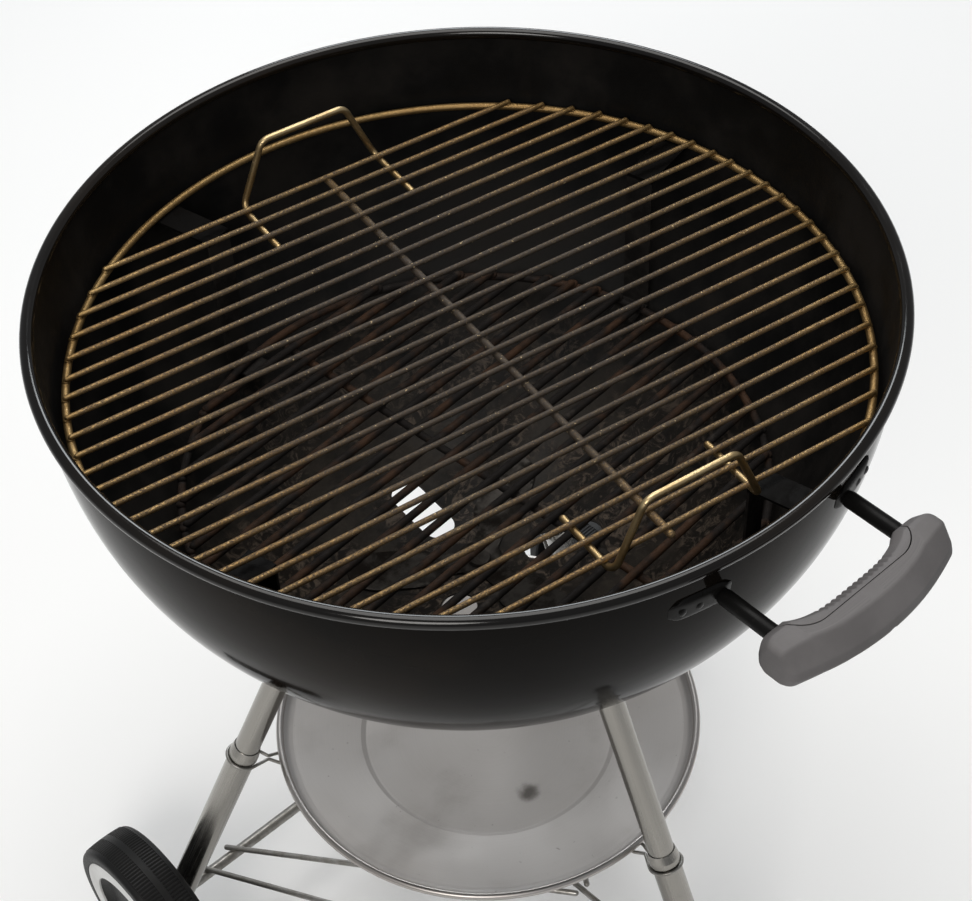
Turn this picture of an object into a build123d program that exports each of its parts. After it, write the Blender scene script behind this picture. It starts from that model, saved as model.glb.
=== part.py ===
from build123d import *
from math import asin, atan2, cos, hypot, radians, sin, sqrt, tan
import os

os.makedirs("parts", exist_ok=True)

# Driving dimensions in millimetres and degrees. Heights are above the floor,
# and radii are from the bowl's upright axis. The handle points along -Y.

# Fits
WELD_GAP = 0.15
SEAT_GAP = 0.3
SLIP_FIT = 0.1
RUNNING_FIT = 0.05

# Bowl: a deep-drawn shell of three tangent arcs, base, knuckle and side, with a rolled rim
RIM_HEIGHT = 735.0
RIM_BEAD = 9.0
RIM_ROLL = 5.0
BOWL_RADIUS = 285.0
BOWL_DEPTH = 282.0
BOWL_KNUCKLE = 257.0
BOWL_BASE_TURN = 12.0
BOWL_SIDE_TURN = 10.0
BOWL_WALL = 1.6

# Bottom vents and the three-bladed damper that sweeps over them
VENT_COUNT = 3
VENT_AZIMUTH = 90.0
VENT_INNER_RADIUS = 35.0
VENT_LENGTH = 60.0
VENT_WIDTH = 26.0
BLADE_OVERLAP = 6.0
BLADE_THICKNESS = 1.5
BLADE_LIFT = 0.5
BLADE_HUB_RADIUS = 18.0
BLADE_NECK_WIDTH = 20.0
STEM_RADIUS = 5.0
STEM_HEAD_RADIUS = 9.0
STEM_HEAD = 3.0
STEM_HEAD_TAPER = 20.0
DAMPER_SWING = 60.0
LEVER_REACH = 205.0
LEVER_WIDTH = 14.0
LEVER_THICKNESS = 2.5
LEVER_DROP = 1.5
KNOB_LENGTH = 46.0
KNOB_WIDTH = 22.0
KNOB_THICKNESS = 10.0
KNOB_EDGE = 3.0

# Cooking grate: welded rods on a ring, with two lifting loops
GRATE_EDGE_GAP = 5.3
GRATE_DROP = 57.0
GRATE_TURN = -9.5
GRATE_RING_WIRE = 5.6
GRATE_BAR_WIRE = 4.0
GRATE_BAR_PITCH = 17.5
GRATE_BAR_MARGIN = 50.0
GRATE_BAR_PROUD = 1.0
GRATE_CROSS_SHIFT = 11.0
WELD_SINK = 0.6
LOOP_WIRE = 5.0
LOOP_FOOT_HALF = 56.0
LOOP_TOP_HALF = 34.0
LOOP_INSET = 51.6
LOOP_FOOT_LENGTH = 54.0
LOOP_BELOW_RIM = 3.5
FRONT_LOOP_SHIFT = 20.0
LOOP_BEND = 9.0

# Charcoal grate
COAL_EDGE_GAP = 13.4
COAL_DROP = 179.0
COAL_TURN = 5.0
COAL_WIRE = 6.0
COAL_BAR_PITCH = 19.0
COAL_BAR_MARGIN = 10.0
COAL_CROSS_SHIFT = 0.0
WIRE_SIDES = 8

# Stepped brackets inside the bowl that carry both grates
BRACKET_COUNT = 4
BRACKET_AZIMUTH = -77.0
BRACKET_WIDTH = 22.0
BRACKET_THICKNESS = 2.0
BRACKET_LEDGE_REACH = 12.0

# Legs: an upper tube that plugs into a wider lower tube with a beaded collar
LEG_COUNT = 3
LEG_AZIMUTH = -90.0
LEG_TILT = 23.3
LEG_FOOT_RADIUS = 318.0
UPPER_LEG_DIAMETER = 20.6
LOWER_LEG_DIAMETER = 23.0
LEG_WALL = 1.1
COLLAR_HEIGHT = 272.0
COLLAR_DIAMETER = 26.0
COLLAR_LENGTH = 11.0
LEG_OVERLAP = 45.0
SOCKET_WALL = 3.0
SOCKET_LENGTH = 34.0
LEG_TOP_GAP = 2.5
LEG_TAIL = 16.0
PLUG_FLANGE = 2.5
PLUG_SPIGOT = 5.5
FOOT_WALL = 3.2
FOOT_SOLE = 3.0
FOOT_LENGTH = 34.0

# Wheels on one axle through the two rear legs
WHEEL_RADIUS = 80.0
WHEEL_WIDTH = 43.0
WHEEL_CLEARANCE = 1.4
WHEEL_OVERHANG = 14.0
WHEEL_CROWN = 1.6
WHEEL_SHOULDER = 4.0
WHEEL_SIDEWALL = 7.0
WHEEL_RIM_RADIUS = 64.0
WHEEL_WEB_DEPTH = 20.0
WHEEL_HUB_RADIUS = 13.0
WALL_RING_OUTER = 67.0
WALL_RING_INNER = 52.0
WALL_RING_THICKNESS = 2.0
WHEEL_DISH = 8.0
NUT_POCKET = 6.0
AXLE_DIAMETER = 9.5
NUT_THICKNESS = 1.8
NUT_RADIUS = 9.0
AXLE_PAST_NUT = 2.2
HUB_CAP_RADIUS = 22.0
HUB_CAP_CROWN = 7.0
HUB_CAP_WALL = 2.4

# Wire rack between the legs
RACK_WIRE = 5.0
RACK_FRONT_HEIGHT = 132.0
RACK_BRACE_INSET = 57.0
RACK_MEETING = 114.0
RACK_TAIL = 8.0

# Ash pan and the wire clips that hang it from the legs
PAN_LEG_GAP = 19.5
PAN_RIM_HEIGHT = 255.5
PAN_BEAD = 6.0
PAN_WALL = 1.2
PAN_DEPTH = 20.0
PAN_STEP_INSET = 71.0
PAN_STEP_HEIGHT = 4.0
PAN_STEP_WIDTH = 6.0
PAN_LAND_WIDTH = 13.6
PAN_LAND_DROP = 5.0
CLIP_WIRE = 2.8
CLIP_PINCH_REACH = 22.0
CLIP_PINCH_BEND = 3.0
CLIP_LOOP_RADIUS = 5.0

# Handle: a bent bar welded to the bowl, clamped between two moulded grip halves
HANDLE_DROP = 30.0
HANDLE_HALF_WIDTH = 55.0
HANDLE_BAR = 11.0
HANDLE_STANDOFF = 74.0
HANDLE_BEND = 22.0
FOOT_PLATE_WIDTH = 42.0
FOOT_PLATE_SHIFT = 12.0
FOOT_PLATE_HEIGHT = 20.0
FOOT_PLATE_CORNER = 6.5
FOOT_PLATE_THICKNESS = 2.5
GRIP_HALF_LENGTH = 74.0
GRIP_BAR_COVER = 24.0
GRIP_BOW = 14.0
GRIP_MID_DEPTH = 35.0
GRIP_END_DEPTH = 30.0
GRIP_END_SLANT = 5.0
GRIP_HORN_WIDTH = 24.0
GRIP_HEIGHT = 27.0
GRIP_CORNER = 10.0
GRIP_HORN_CORNER = 6.0
GRIP_CHAMFER = 5.0
GRIP_RIDGE_COUNT = 9
GRIP_RIDGE_PITCH = 7.0
GRIP_RIDGE_RADIUS = 3.2
GRIP_RIDGE_DEPTH = 1.4
SCREW_RADIUS = 1.8
SCREW_HEAD_RADIUS = 3.6
SCREW_HEAD = 2.5
SCREW_RECESS = 6.0
SCREW_GRIP = 5.0

# Heights, slopes and radii that follow from the driving dimensions
RIM_LINE = RIM_HEIGHT - RIM_BEAD / 2
RIM_RADIUS = BOWL_RADIUS + RIM_ROLL
BOWL_BOTTOM = RIM_LINE - BOWL_DEPTH
GRATE_HEIGHT = RIM_LINE - GRATE_DROP
COAL_HEIGHT = RIM_LINE - COAL_DROP
BAR_HEIGHT = GRATE_HEIGHT + GRATE_RING_WIRE / 2 + GRATE_BAR_WIRE / 2 - WELD_SINK
HANDLE_HEIGHT = RIM_LINE - HANDLE_DROP
LEG_SIN = sin(radians(LEG_TILT))
LEG_COS = cos(radians(LEG_TILT))
UPPER_LEG_RADIUS = UPPER_LEG_DIAMETER / 2
LOWER_LEG_RADIUS = LOWER_LEG_DIAMETER / 2
COLLAR_ALONG = COLLAR_HEIGHT / LEG_COS
LEG_END_ALONG = (FOOT_SOLE + LOWER_LEG_RADIUS * LEG_SIN) / LEG_COS
AXLE_RADIUS = AXLE_DIAMETER / 2
AXLE_HEIGHT = WHEEL_RADIUS
AXLE_ALONG = AXLE_HEIGHT / LEG_COS
AXLE_LEG_RADIUS = LEG_FOOT_RADIUS - AXLE_HEIGHT * tan(radians(LEG_TILT))
REAR_RIGHT = LEG_AZIMUTH + 360 / LEG_COUNT
REAR_LEFT = LEG_AZIMUTH - 360 / LEG_COUNT
AXLE_Y = AXLE_LEG_RADIUS * sin(radians(REAR_RIGHT))
LEG_HALF_TRACK = AXLE_LEG_RADIUS * cos(radians(REAR_RIGHT))
TAIL_X = LEG_HALF_TRACK + LEG_TAIL * LEG_SIN * cos(radians(REAR_RIGHT))
WHEEL_INNER = TAIL_X + LOWER_LEG_RADIUS + WHEEL_CLEARANCE - WHEEL_OVERHANG
NUT_FACE = WHEEL_INNER + WHEEL_WIDTH - WHEEL_DISH - NUT_POCKET
AXLE_HALF = NUT_FACE + SLIP_FIT + NUT_THICKNESS + AXLE_PAST_NUT
PAN_LEG_RADIUS = LEG_FOOT_RADIUS - PAN_RIM_HEIGHT * tan(radians(LEG_TILT))
PAN_RIM_RADIUS = PAN_LEG_RADIUS - LOWER_LEG_RADIUS / LEG_COS - PAN_LEG_GAP
GRIP_MID_OUTER = RIM_RADIUS + HANDLE_STANDOFF
GRIP_END_OUTER = GRIP_MID_OUTER - GRIP_BOW
GRIP_MID_INNER = GRIP_MID_OUTER - GRIP_MID_DEPTH
GRIP_END_INNER = GRIP_END_OUTER - GRIP_END_DEPTH
HANDLE_BAR_REACH = GRIP_MID_OUTER - GRIP_BAR_COVER
# The finished part is centred front to back between the rim and the grip
CENTRING = Pos(0, (GRIP_MID_OUTER - RIM_RADIUS) / 2, 0)


# The base and side arcs are wider than the knuckle by what lets all three meet tangent
BASE_SIN = sin(radians(BOWL_BASE_TURN))
BASE_COS = cos(radians(BOWL_BASE_TURN))
SIDE_SIN = sin(radians(BOWL_SIDE_TURN))
SIDE_COS = cos(radians(BOWL_SIDE_TURN))
ARC_SHARE = BASE_SIN * SIDE_SIN - (1 - BASE_COS) * (1 - SIDE_COS)
EXTRA_WIDTH = BOWL_RADIUS - BOWL_KNUCKLE
EXTRA_DEPTH = BOWL_DEPTH - BOWL_KNUCKLE
BASE_EXTRA = (EXTRA_WIDTH * SIDE_SIN - EXTRA_DEPTH * (1 - SIDE_COS)) / ARC_SHARE
SIDE_EXTRA = (EXTRA_DEPTH * BASE_SIN - EXTRA_WIDTH * (1 - BASE_COS)) / ARC_SHARE
BASE_ARC = BOWL_KNUCKLE + BASE_EXTRA
SIDE_ARC = BOWL_KNUCKLE + SIDE_EXTRA
BASE_CENTRE_HEIGHT = BOWL_BOTTOM + BASE_ARC
KNUCKLE_CENTRE_RADIUS = BASE_EXTRA * BASE_SIN
KNUCKLE_CENTRE_HEIGHT = RIM_LINE - SIDE_EXTRA * SIDE_SIN
SIDE_CENTRE_RADIUS = BOWL_RADIUS - SIDE_ARC


def bowl_radius_at(height, inset):
    """Radius of the bowl's surface, moved inwards by inset, at a height."""
    if RIM_LINE - height < (SIDE_ARC - inset) * SIDE_SIN:
        return SIDE_CENTRE_RADIUS + sqrt((SIDE_ARC - inset) ** 2 - (RIM_LINE - height) ** 2)
    if BASE_CENTRE_HEIGHT - height < (BASE_ARC - inset) * BASE_COS:
        drop = KNUCKLE_CENTRE_HEIGHT - height
        return KNUCKLE_CENTRE_RADIUS + sqrt((BOWL_KNUCKLE - inset) ** 2 - drop**2)
    return sqrt((BASE_ARC - inset) ** 2 - (BASE_CENTRE_HEIGHT - height) ** 2)


def bowl_height_at(radius, inset):
    """Height of the bowl's surface, moved inwards by inset, at a radius."""
    if radius < (BASE_ARC - inset) * BASE_SIN:
        return BASE_CENTRE_HEIGHT - sqrt((BASE_ARC - inset) ** 2 - radius**2)
    if radius < SIDE_CENTRE_RADIUS + (SIDE_ARC - inset) * SIDE_COS:
        out = radius - KNUCKLE_CENTRE_RADIUS
        return KNUCKLE_CENTRE_HEIGHT - sqrt((BOWL_KNUCKLE - inset) ** 2 - out**2)
    return RIM_LINE - sqrt((SIDE_ARC - inset) ** 2 - (radius - SIDE_CENTRE_RADIUS) ** 2)


GRATE_RADIUS = bowl_radius_at(GRATE_HEIGHT, BOWL_WALL) - GRATE_RING_WIRE / 2 - GRATE_EDGE_GAP
COAL_RADIUS = bowl_radius_at(COAL_HEIGHT, BOWL_WALL) - COAL_WIRE / 2 - COAL_EDGE_GAP


def bowl_curve(inset):
    """Half profile of the bowl from its lowest point to the rim line, as three arcs."""
    knuckle_turn = 90 - BOWL_BASE_TURN - BOWL_SIDE_TURN
    knuckle_centre = (KNUCKLE_CENTRE_RADIUS, KNUCKLE_CENTRE_HEIGHT)
    return [
        CenterArc((0, BASE_CENTRE_HEIGHT), BASE_ARC - inset, -90, BOWL_BASE_TURN),
        CenterArc(knuckle_centre, BOWL_KNUCKLE - inset, BOWL_BASE_TURN - 90, knuckle_turn),
        CenterArc((SIDE_CENTRE_RADIUS, RIM_LINE), SIDE_ARC - inset, -BOWL_SIDE_TURN, BOWL_SIDE_TURN),
    ]


def revolve_profile(face):
    """Turn a profile drawn as radius and height about the bowl's axis."""
    return revolve(Plane.XZ * face, Axis.Z)


def bowl_layer(outer_inset, inner_inset):
    """Shell between two surfaces parallel to the bowl, given as insets."""
    bottom = Line((0, BOWL_BOTTOM + outer_inset), (0, BOWL_BOTTOM + inner_inset))
    top = Line((BOWL_RADIUS - outer_inset, RIM_LINE), (BOWL_RADIUS - inner_inset, RIM_LINE))
    return make_face([*bowl_curve(outer_inset), top, *bowl_curve(inner_inset), bottom])


def bowl_block(clearance):
    """Solid space of the bowl, grown by a clearance, for trimming what is welded to it."""
    inset = -clearance
    axis = Line((0, BOWL_BOTTOM + inset), (0, RIM_LINE))
    top = Line((0, RIM_LINE), (BOWL_RADIUS - inset, RIM_LINE))
    return revolve_profile(make_face([*bowl_curve(inset), top, axis]))


def wire_section(diameter):
    """Section of a thin wire, with flats across its diameter."""
    return RegularPolygon(diameter / 2, WIRE_SIDES, major_radius=False, rotation=180 / WIRE_SIDES)


def rod(start, end, diameter):
    """Straight round rod between two points."""
    line = Line(start, end)
    return extrude(Plane(line @ 0, z_dir=line % 0) * Circle(diameter / 2), line.length)


def wire_bar(half_length, offset, height, diameter):
    """Straight grate bar along X, level, at an offset in Y."""
    start = Plane((-half_length, offset, height), x_dir=(0, 1, 0), z_dir=(1, 0, 0))
    return extrude(start * wire_section(diameter), 2 * half_length)


def wire_sweep(path, diameter):
    """Bent wire along a smooth path."""
    return sweep(Plane(path @ 0, z_dir=path % 0) * wire_section(diameter), path)


def radial_plane(azimuth):
    """Upright plane through the axis: local x is the radius, local y the height."""
    angle = radians(azimuth)
    return Plane((0, 0, 0), x_dir=(cos(angle), sin(angle), 0), z_dir=(sin(angle), -cos(angle), 0))


def leg_plane(azimuth):
    """Frame on a leg's axis: origin on the floor, z up the leg, x inwards and down."""
    angle = radians(azimuth)
    floor_point = (LEG_FOOT_RADIUS * cos(angle), LEG_FOOT_RADIUS * sin(angle), 0)
    inwards = (-LEG_COS * cos(angle), -LEG_COS * sin(angle), -LEG_SIN)
    up_leg = (-LEG_SIN * cos(angle), -LEG_SIN * sin(angle), LEG_COS)
    return Plane(floor_point, x_dir=inwards, z_dir=up_leg)


def leg_meets_bowl():
    """Distance up a leg's axis from the floor to the bowl's outer surface."""
    low = COLLAR_ALONG
    high = RIM_LINE / LEG_COS
    for _ in range(40):
        middle = (low + high) / 2
        radius = LEG_FOOT_RADIUS - middle * LEG_SIN
        if radius < 0 or middle * LEG_COS > bowl_height_at(abs(radius), 0):
            high = middle
        else:
            low = middle
    return low


BOWL_ALONG = leg_meets_bowl()
LEG_TOP_ALONG = BOWL_ALONG - LEG_TOP_GAP


def around_axis(solid, count, first):
    """Copies of a solid drawn at azimuth zero, spaced evenly about the axis."""
    return [Rot(0, 0, first + 360 * index / count) * solid for index in range(count)]


def make_bowl():
    bead = Pos(RIM_RADIUS - RIM_BEAD / 2, RIM_LINE) * Circle(RIM_BEAD / 2)
    shell = revolve_profile(bowl_layer(0, BOWL_WALL) + bead)
    vent_middle = VENT_INNER_RADIUS + VENT_LENGTH / 2
    slot = Pos(vent_middle, 0, BOWL_BOTTOM) * SlotOverall(VENT_LENGTH, VENT_WIDTH)
    cutter = extrude(slot, BOWL_DEPTH / 2, both=True)
    stem_hole = Pos(0, 0, BOWL_BOTTOM) * Cylinder(STEM_RADIUS + RUNNING_FIT, BOWL_DEPTH / 2)
    return shell - around_axis(cutter, VENT_COUNT, VENT_AZIMUTH) - stem_hole


def make_damper_blades():
    under = BOWL_WALL + BLADE_LIFT
    layer = revolve_profile(bowl_layer(under, under + BLADE_THICKNESS))
    length = VENT_LENGTH + 2 * BLADE_OVERLAP
    blade = Pos(VENT_INNER_RADIUS + VENT_LENGTH / 2, 0) * SlotOverall(length, VENT_WIDTH + 2 * BLADE_OVERLAP)
    neck = Pos(VENT_INNER_RADIUS / 2, 0) * Rectangle(VENT_INNER_RADIUS, BLADE_NECK_WIDTH)
    plan = Circle(BLADE_HUB_RADIUS)
    for turn in around_axis(blade + neck, VENT_COUNT, VENT_AZIMUTH - DAMPER_SWING):
        plan = plan + turn
    plan = plan - Circle(STEM_RADIUS + RUNNING_FIT)
    return layer & (Pos(0, 0, BOWL_BOTTOM) * extrude(plan, BOWL_DEPTH / 2))


def make_damper_stem():
    hub_top = BOWL_BOTTOM + BOWL_WALL + BLADE_LIFT + BLADE_THICKNESS + SLIP_FIT
    lever_under = BOWL_BOTTOM - LEVER_DROP - LEVER_THICKNESS - SLIP_FIT
    shaft = Pos(0, 0, lever_under) * extrude(Circle(STEM_RADIUS), hub_top - lever_under)
    top_head = Pos(0, 0, hub_top) * extrude(Circle(STEM_HEAD_RADIUS), STEM_HEAD, taper=STEM_HEAD_TAPER)
    low_head = Pos(0, 0, lever_under) * extrude(Circle(STEM_HEAD_RADIUS), -STEM_HEAD, taper=STEM_HEAD_TAPER)
    return shaft + top_head + low_head


def make_damper_lever():
    bar = SlotCenterToCenter(LEVER_REACH - LEVER_WIDTH / 2, LEVER_WIDTH)
    plan = Pos((LEVER_REACH - LEVER_WIDTH / 2) / 2, 0) * bar + Circle(LEVER_WIDTH)
    plan = plan - Circle(STEM_RADIUS + RUNNING_FIT)
    lever = Pos(0, 0, BOWL_BOTTOM - LEVER_DROP - LEVER_THICKNESS) * extrude(plan, LEVER_THICKNESS)
    return Rot(0, 0, VENT_AZIMUTH - DAMPER_SWING / 2) * lever


def make_lever_knob():
    height = BOWL_BOTTOM - LEVER_DROP - LEVER_THICKNESS / 2
    centre = LEVER_REACH - LEVER_WIDTH / 2
    body = extrude(SlotOverall(KNOB_LENGTH, KNOB_WIDTH), KNOB_THICKNESS / 2, both=True)
    for group in (0, -1):
        body = chamfer(body.edges().group_by(Axis.Z)[group], KNOB_EDGE)
    pocket_reach = KNOB_LENGTH / 2 + LEVER_WIDTH / 2 + SLIP_FIT
    pocket = Pos(pocket_reach / 2 - KNOB_LENGTH / 2, 0) * Box(
        pocket_reach, LEVER_WIDTH + 2 * SLIP_FIT, LEVER_THICKNESS + 2 * SLIP_FIT
    )
    return Rot(0, 0, VENT_AZIMUTH - DAMPER_SWING / 2) * Pos(centre, 0, height) * (body - pocket)


def grate_disc(radius, height, ring_wire, bar_wire, bar_height, margin, pitch, bar_reach, cross_shift, turn):
    """Welded grate: a ring, parallel bars across its top and one cross rod under the bars."""
    ring = revolve_profile(Pos(radius, height) * wire_section(ring_wire))
    pairs = int((radius - margin) / pitch)
    first = pairs * pitch
    bars = []
    for index in range(2 * pairs + 1):
        offset = index * pitch - first
        bars.append(wire_bar(sqrt(bar_reach**2 - offset**2), offset, bar_height, bar_wire))
    cross = Rot(0, 0, 90) * wire_bar(first + bar_wire, -cross_shift, height, ring_wire)
    return Rot(0, 0, turn) * ring.fuse(*bars, cross)


def make_cooking_grate():
    return grate_disc(
        GRATE_RADIUS, GRATE_HEIGHT, GRATE_RING_WIRE, GRATE_BAR_WIRE, BAR_HEIGHT,
        GRATE_BAR_MARGIN, GRATE_BAR_PITCH, GRATE_RADIUS + GRATE_BAR_PROUD, GRATE_CROSS_SHIFT, GRATE_TURN,
    )


def make_charcoal_grate():
    bar_height = COAL_HEIGHT + COAL_WIRE - WELD_SINK
    return grate_disc(
        COAL_RADIUS, COAL_HEIGHT, COAL_WIRE, COAL_WIRE, bar_height,
        COAL_BAR_MARGIN, COAL_BAR_PITCH, COAL_RADIUS, COAL_CROSS_SHIFT, COAL_TURN,
    )


def make_grate_loop(side):
    """Lifting loop: two feet under the bars, uprights and a level grip. side is 1 at the rear."""
    foot_height = BAR_HEIGHT - GRATE_BAR_WIRE / 2 - LOOP_WIRE / 2 - WELD_GAP
    top_height = RIM_LINE - LOOP_BELOW_RIM - LOOP_WIRE / 2
    foot_end = GRATE_RADIUS - LOOP_INSET
    foot_start = foot_end - LOOP_FOOT_LENGTH
    path = FilletPolyline(
        (-LOOP_FOOT_HALF, foot_start, foot_height),
        (-LOOP_FOOT_HALF, foot_end, foot_height),
        (-LOOP_TOP_HALF, foot_end, top_height),
        (LOOP_TOP_HALF, foot_end, top_height),
        (LOOP_FOOT_HALF, foot_end, foot_height),
        (LOOP_FOOT_HALF, foot_start, foot_height),
        radius=LOOP_BEND,
    )
    loop = wire_sweep(path, LOOP_WIRE)
    if side > 0:
        return Rot(0, 0, GRATE_TURN) * loop
    return Rot(0, 0, GRATE_TURN) * Pos(FRONT_LOOP_SHIFT, 0) * Rot(0, 0, 180) * loop


def make_grate_brackets():
    upper = GRATE_HEIGHT - GRATE_RING_WIRE / 2 - SEAT_GAP
    lower = COAL_HEIGHT - COAL_WIRE / 2 - SEAT_GAP
    half = BRACKET_WIDTH / 2
    thick = BRACKET_THICKNESS
    wall_high = sqrt(bowl_radius_at(upper - thick, BOWL_WALL) ** 2 - half**2) - WELD_GAP
    wall_low = sqrt(bowl_radius_at(lower - thick, BOWL_WALL) ** 2 - half**2) - WELD_GAP
    toe = COAL_RADIUS - BRACKET_LEDGE_REACH
    outline = Polyline(
        (wall_high, upper),
        (wall_low - thick, upper),
        (wall_low - thick, lower),
        (toe, lower),
        (toe, lower - thick),
        (wall_low, lower - thick),
        (wall_low, upper - thick),
        (wall_high, upper - thick),
        close=True,
    )
    bracket = extrude(radial_plane(0) * make_face(outline), half, both=True)
    return around_axis(bracket, BRACKET_COUNT, BRACKET_AZIMUTH)


def make_leg_sockets():
    bore = UPPER_LEG_RADIUS + SLIP_FIT
    tube = extrude(Circle(bore + SOCKET_WALL) - Circle(bore), SOCKET_LENGTH + LOWER_LEG_DIAMETER)
    socket = leg_plane(0) * Pos(0, 0, BOWL_ALONG - SOCKET_LENGTH) * tube
    return around_axis(socket - bowl_block(WELD_GAP), LEG_COUNT, LEG_AZIMUTH)


def make_upper_leg(azimuth):
    start = COLLAR_ALONG - LEG_OVERLAP
    tube = extrude(Circle(UPPER_LEG_RADIUS) - Circle(UPPER_LEG_RADIUS - LEG_WALL), LEG_TOP_ALONG - start)
    return leg_plane(azimuth) * Pos(0, 0, start) * tube


def lower_leg_tube(start):
    """Lower tube on a local Z axis, flared into a beaded collar at its top."""
    inner = UPPER_LEG_RADIUS + SLIP_FIT
    outer = LOWER_LEG_RADIUS
    top = COLLAR_ALONG + COLLAR_LENGTH / 2
    flare = (COLLAR_DIAMETER - LOWER_LEG_DIAMETER) / 2
    outline = Polyline(
        (inner, start),
        (outer, start),
        (outer, top - COLLAR_LENGTH),
        (outer + flare, top - COLLAR_LENGTH + 2 * flare),
        (outer + flare, top - flare),
        (outer, top),
        (inner, top),
        close=True,
    )
    return revolve(Plane.XZ * make_face(outline), Axis.Z)


def make_front_lower_leg():
    return leg_plane(LEG_AZIMUTH) * lower_leg_tube(LEG_END_ALONG)


def make_rear_lower_leg(azimuth):
    leg = leg_plane(azimuth) * lower_leg_tube(AXLE_ALONG - LEG_TAIL)
    hole = Cylinder(AXLE_RADIUS + SLIP_FIT, 2 * AXLE_HALF)
    return leg - Pos(0, AXLE_Y, AXLE_HEIGHT) * Rot(0, 90, 0) * hole


def make_leg_plugs():
    plugs = []
    for azimuth in (REAR_RIGHT, REAR_LEFT):
        end = AXLE_ALONG - LEG_TAIL - SLIP_FIT
        flange = Pos(0, 0, end - PLUG_FLANGE) * extrude(Circle(LOWER_LEG_RADIUS), PLUG_FLANGE)
        spigot = Pos(0, 0, end) * extrude(Circle(UPPER_LEG_RADIUS), PLUG_SPIGOT)
        plugs.append(leg_plane(azimuth) * (flange + spigot))
    return plugs


def make_foot_cap():
    outer = LOWER_LEG_RADIUS + SLIP_FIT + FOOT_WALL
    body = Pos(0, 0, -outer) * extrude(Circle(outer), FOOT_LENGTH + outer)
    bore = Pos(0, 0, LEG_END_ALONG - SLIP_FIT) * extrude(Circle(LOWER_LEG_RADIUS + SLIP_FIT), FOOT_LENGTH)
    cap = leg_plane(LEG_AZIMUTH) * (body - bore)
    return split(cap, Plane.XY, keep=Keep.TOP)


def make_axle():
    return rod((-AXLE_HALF, AXLE_Y, AXLE_HEIGHT), (AXLE_HALF, AXLE_Y, AXLE_HEIGHT), AXLE_DIAMETER)


def turned_on_axle(face, side):
    """Turn a profile, drawn as distance outwards from the wheel's inner face and radius, about the axle."""
    solid = Pos(WHEEL_INNER, AXLE_Y, AXLE_HEIGHT) * revolve(face, Axis.X)
    return solid if side > 0 else mirror(solid, Plane.YZ)


def make_push_nuts():
    start = NUT_FACE + SLIP_FIT - WHEEL_INNER
    bore = AXLE_RADIUS + RUNNING_FIT
    section = Rectangle(NUT_THICKNESS, NUT_RADIUS - bore)
    section = Pos(start + NUT_THICKNESS / 2, (bore + NUT_RADIUS) / 2) * section
    return [turned_on_axle(section, 1), turned_on_axle(section, -1)]


def make_wheel(side):
    """Moulded wheel: crowned tread, open inner side, web, hub and a dished outer face."""
    bore = AXLE_RADIUS + RUNNING_FIT
    width = WHEEL_WIDTH
    tread_edge = WHEEL_RADIUS - WHEEL_CROWN
    seat_outer = WALL_RING_OUTER + SLIP_FIT
    seat_inner = WALL_RING_INNER - SLIP_FIT
    seat = width - WALL_RING_THICKNESS - SLIP_FIT
    dish = width - WHEEL_DISH
    pocket = HUB_CAP_RADIUS - 2 * HUB_CAP_WALL
    tread_outer = (width - WHEEL_SHOULDER, tread_edge)
    tread_inner = (WHEEL_SHOULDER, tread_edge)
    outline = [
        Polyline(
            tread_inner,
            (0, tread_edge - WHEEL_SHOULDER),
            (0, WHEEL_RIM_RADIUS + WHEEL_SHOULDER),
            (WHEEL_WEB_DEPTH, WHEEL_RIM_RADIUS),
            (WHEEL_WEB_DEPTH, WHEEL_HUB_RADIUS),
            (WHEEL_OVERHANG, WHEEL_HUB_RADIUS),
            (WHEEL_OVERHANG, bore),
            (dish - NUT_POCKET, bore),
            (dish - NUT_POCKET, pocket),
            (dish, pocket),
            (dish, seat_inner - WHEEL_DISH),
            (seat, seat_inner),
            (seat, seat_outer),
            (width, seat_outer),
            (width, WHEEL_RADIUS - WHEEL_SIDEWALL),
            tread_outer,
        ),
        ThreePointArc(tread_outer, (width / 2, WHEEL_RADIUS), tread_inner),
    ]
    return turned_on_axle(make_face(outline), side)


def make_wall_ring(side):
    middle = (WALL_RING_OUTER + WALL_RING_INNER) / 2
    section = Rectangle(WALL_RING_THICKNESS, WALL_RING_OUTER - WALL_RING_INNER)
    return turned_on_axle(Pos(WHEEL_WIDTH - WALL_RING_THICKNESS / 2, middle) * section, side)


def make_hub_cap(side):
    """Spherical cap over the axle's end, seated on the dished face round the nut pocket."""
    seat = WHEEL_WIDTH - WHEEL_DISH + SLIP_FIT
    top = seat + HUB_CAP_CROWN
    ball = (HUB_CAP_RADIUS**2 + HUB_CAP_CROWN**2) / (2 * HUB_CAP_CROWN)
    half_turn = asin(HUB_CAP_RADIUS / ball) / 2
    knee = (top - ball + ball * cos(half_turn), ball * sin(half_turn))
    inner = HUB_CAP_RADIUS - HUB_CAP_WALL
    outline = [
        ThreePointArc((seat, HUB_CAP_RADIUS), knee, (top, 0)),
        Polyline((top, 0), (top - HUB_CAP_WALL, 0), (seat, inner), (seat, HUB_CAP_RADIUS)),
    ]
    return turned_on_axle(make_face(outline), side)


RACK_REAR_HEIGHT = AXLE_HEIGHT + AXLE_RADIUS + RACK_WIRE / 2 + WELD_GAP
RACK_FRONT_Y = RACK_FRONT_HEIGHT * tan(radians(LEG_TILT)) - LEG_FOOT_RADIUS


def rack_point(x, y):
    """Point on the rack's plane, which rises from the axle to the front leg."""
    share = (AXLE_Y - y) / (AXLE_Y - RACK_FRONT_Y)
    return (x, y, RACK_REAR_HEIGHT + share * (RACK_FRONT_HEIGHT - RACK_REAR_HEIGHT))


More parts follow.
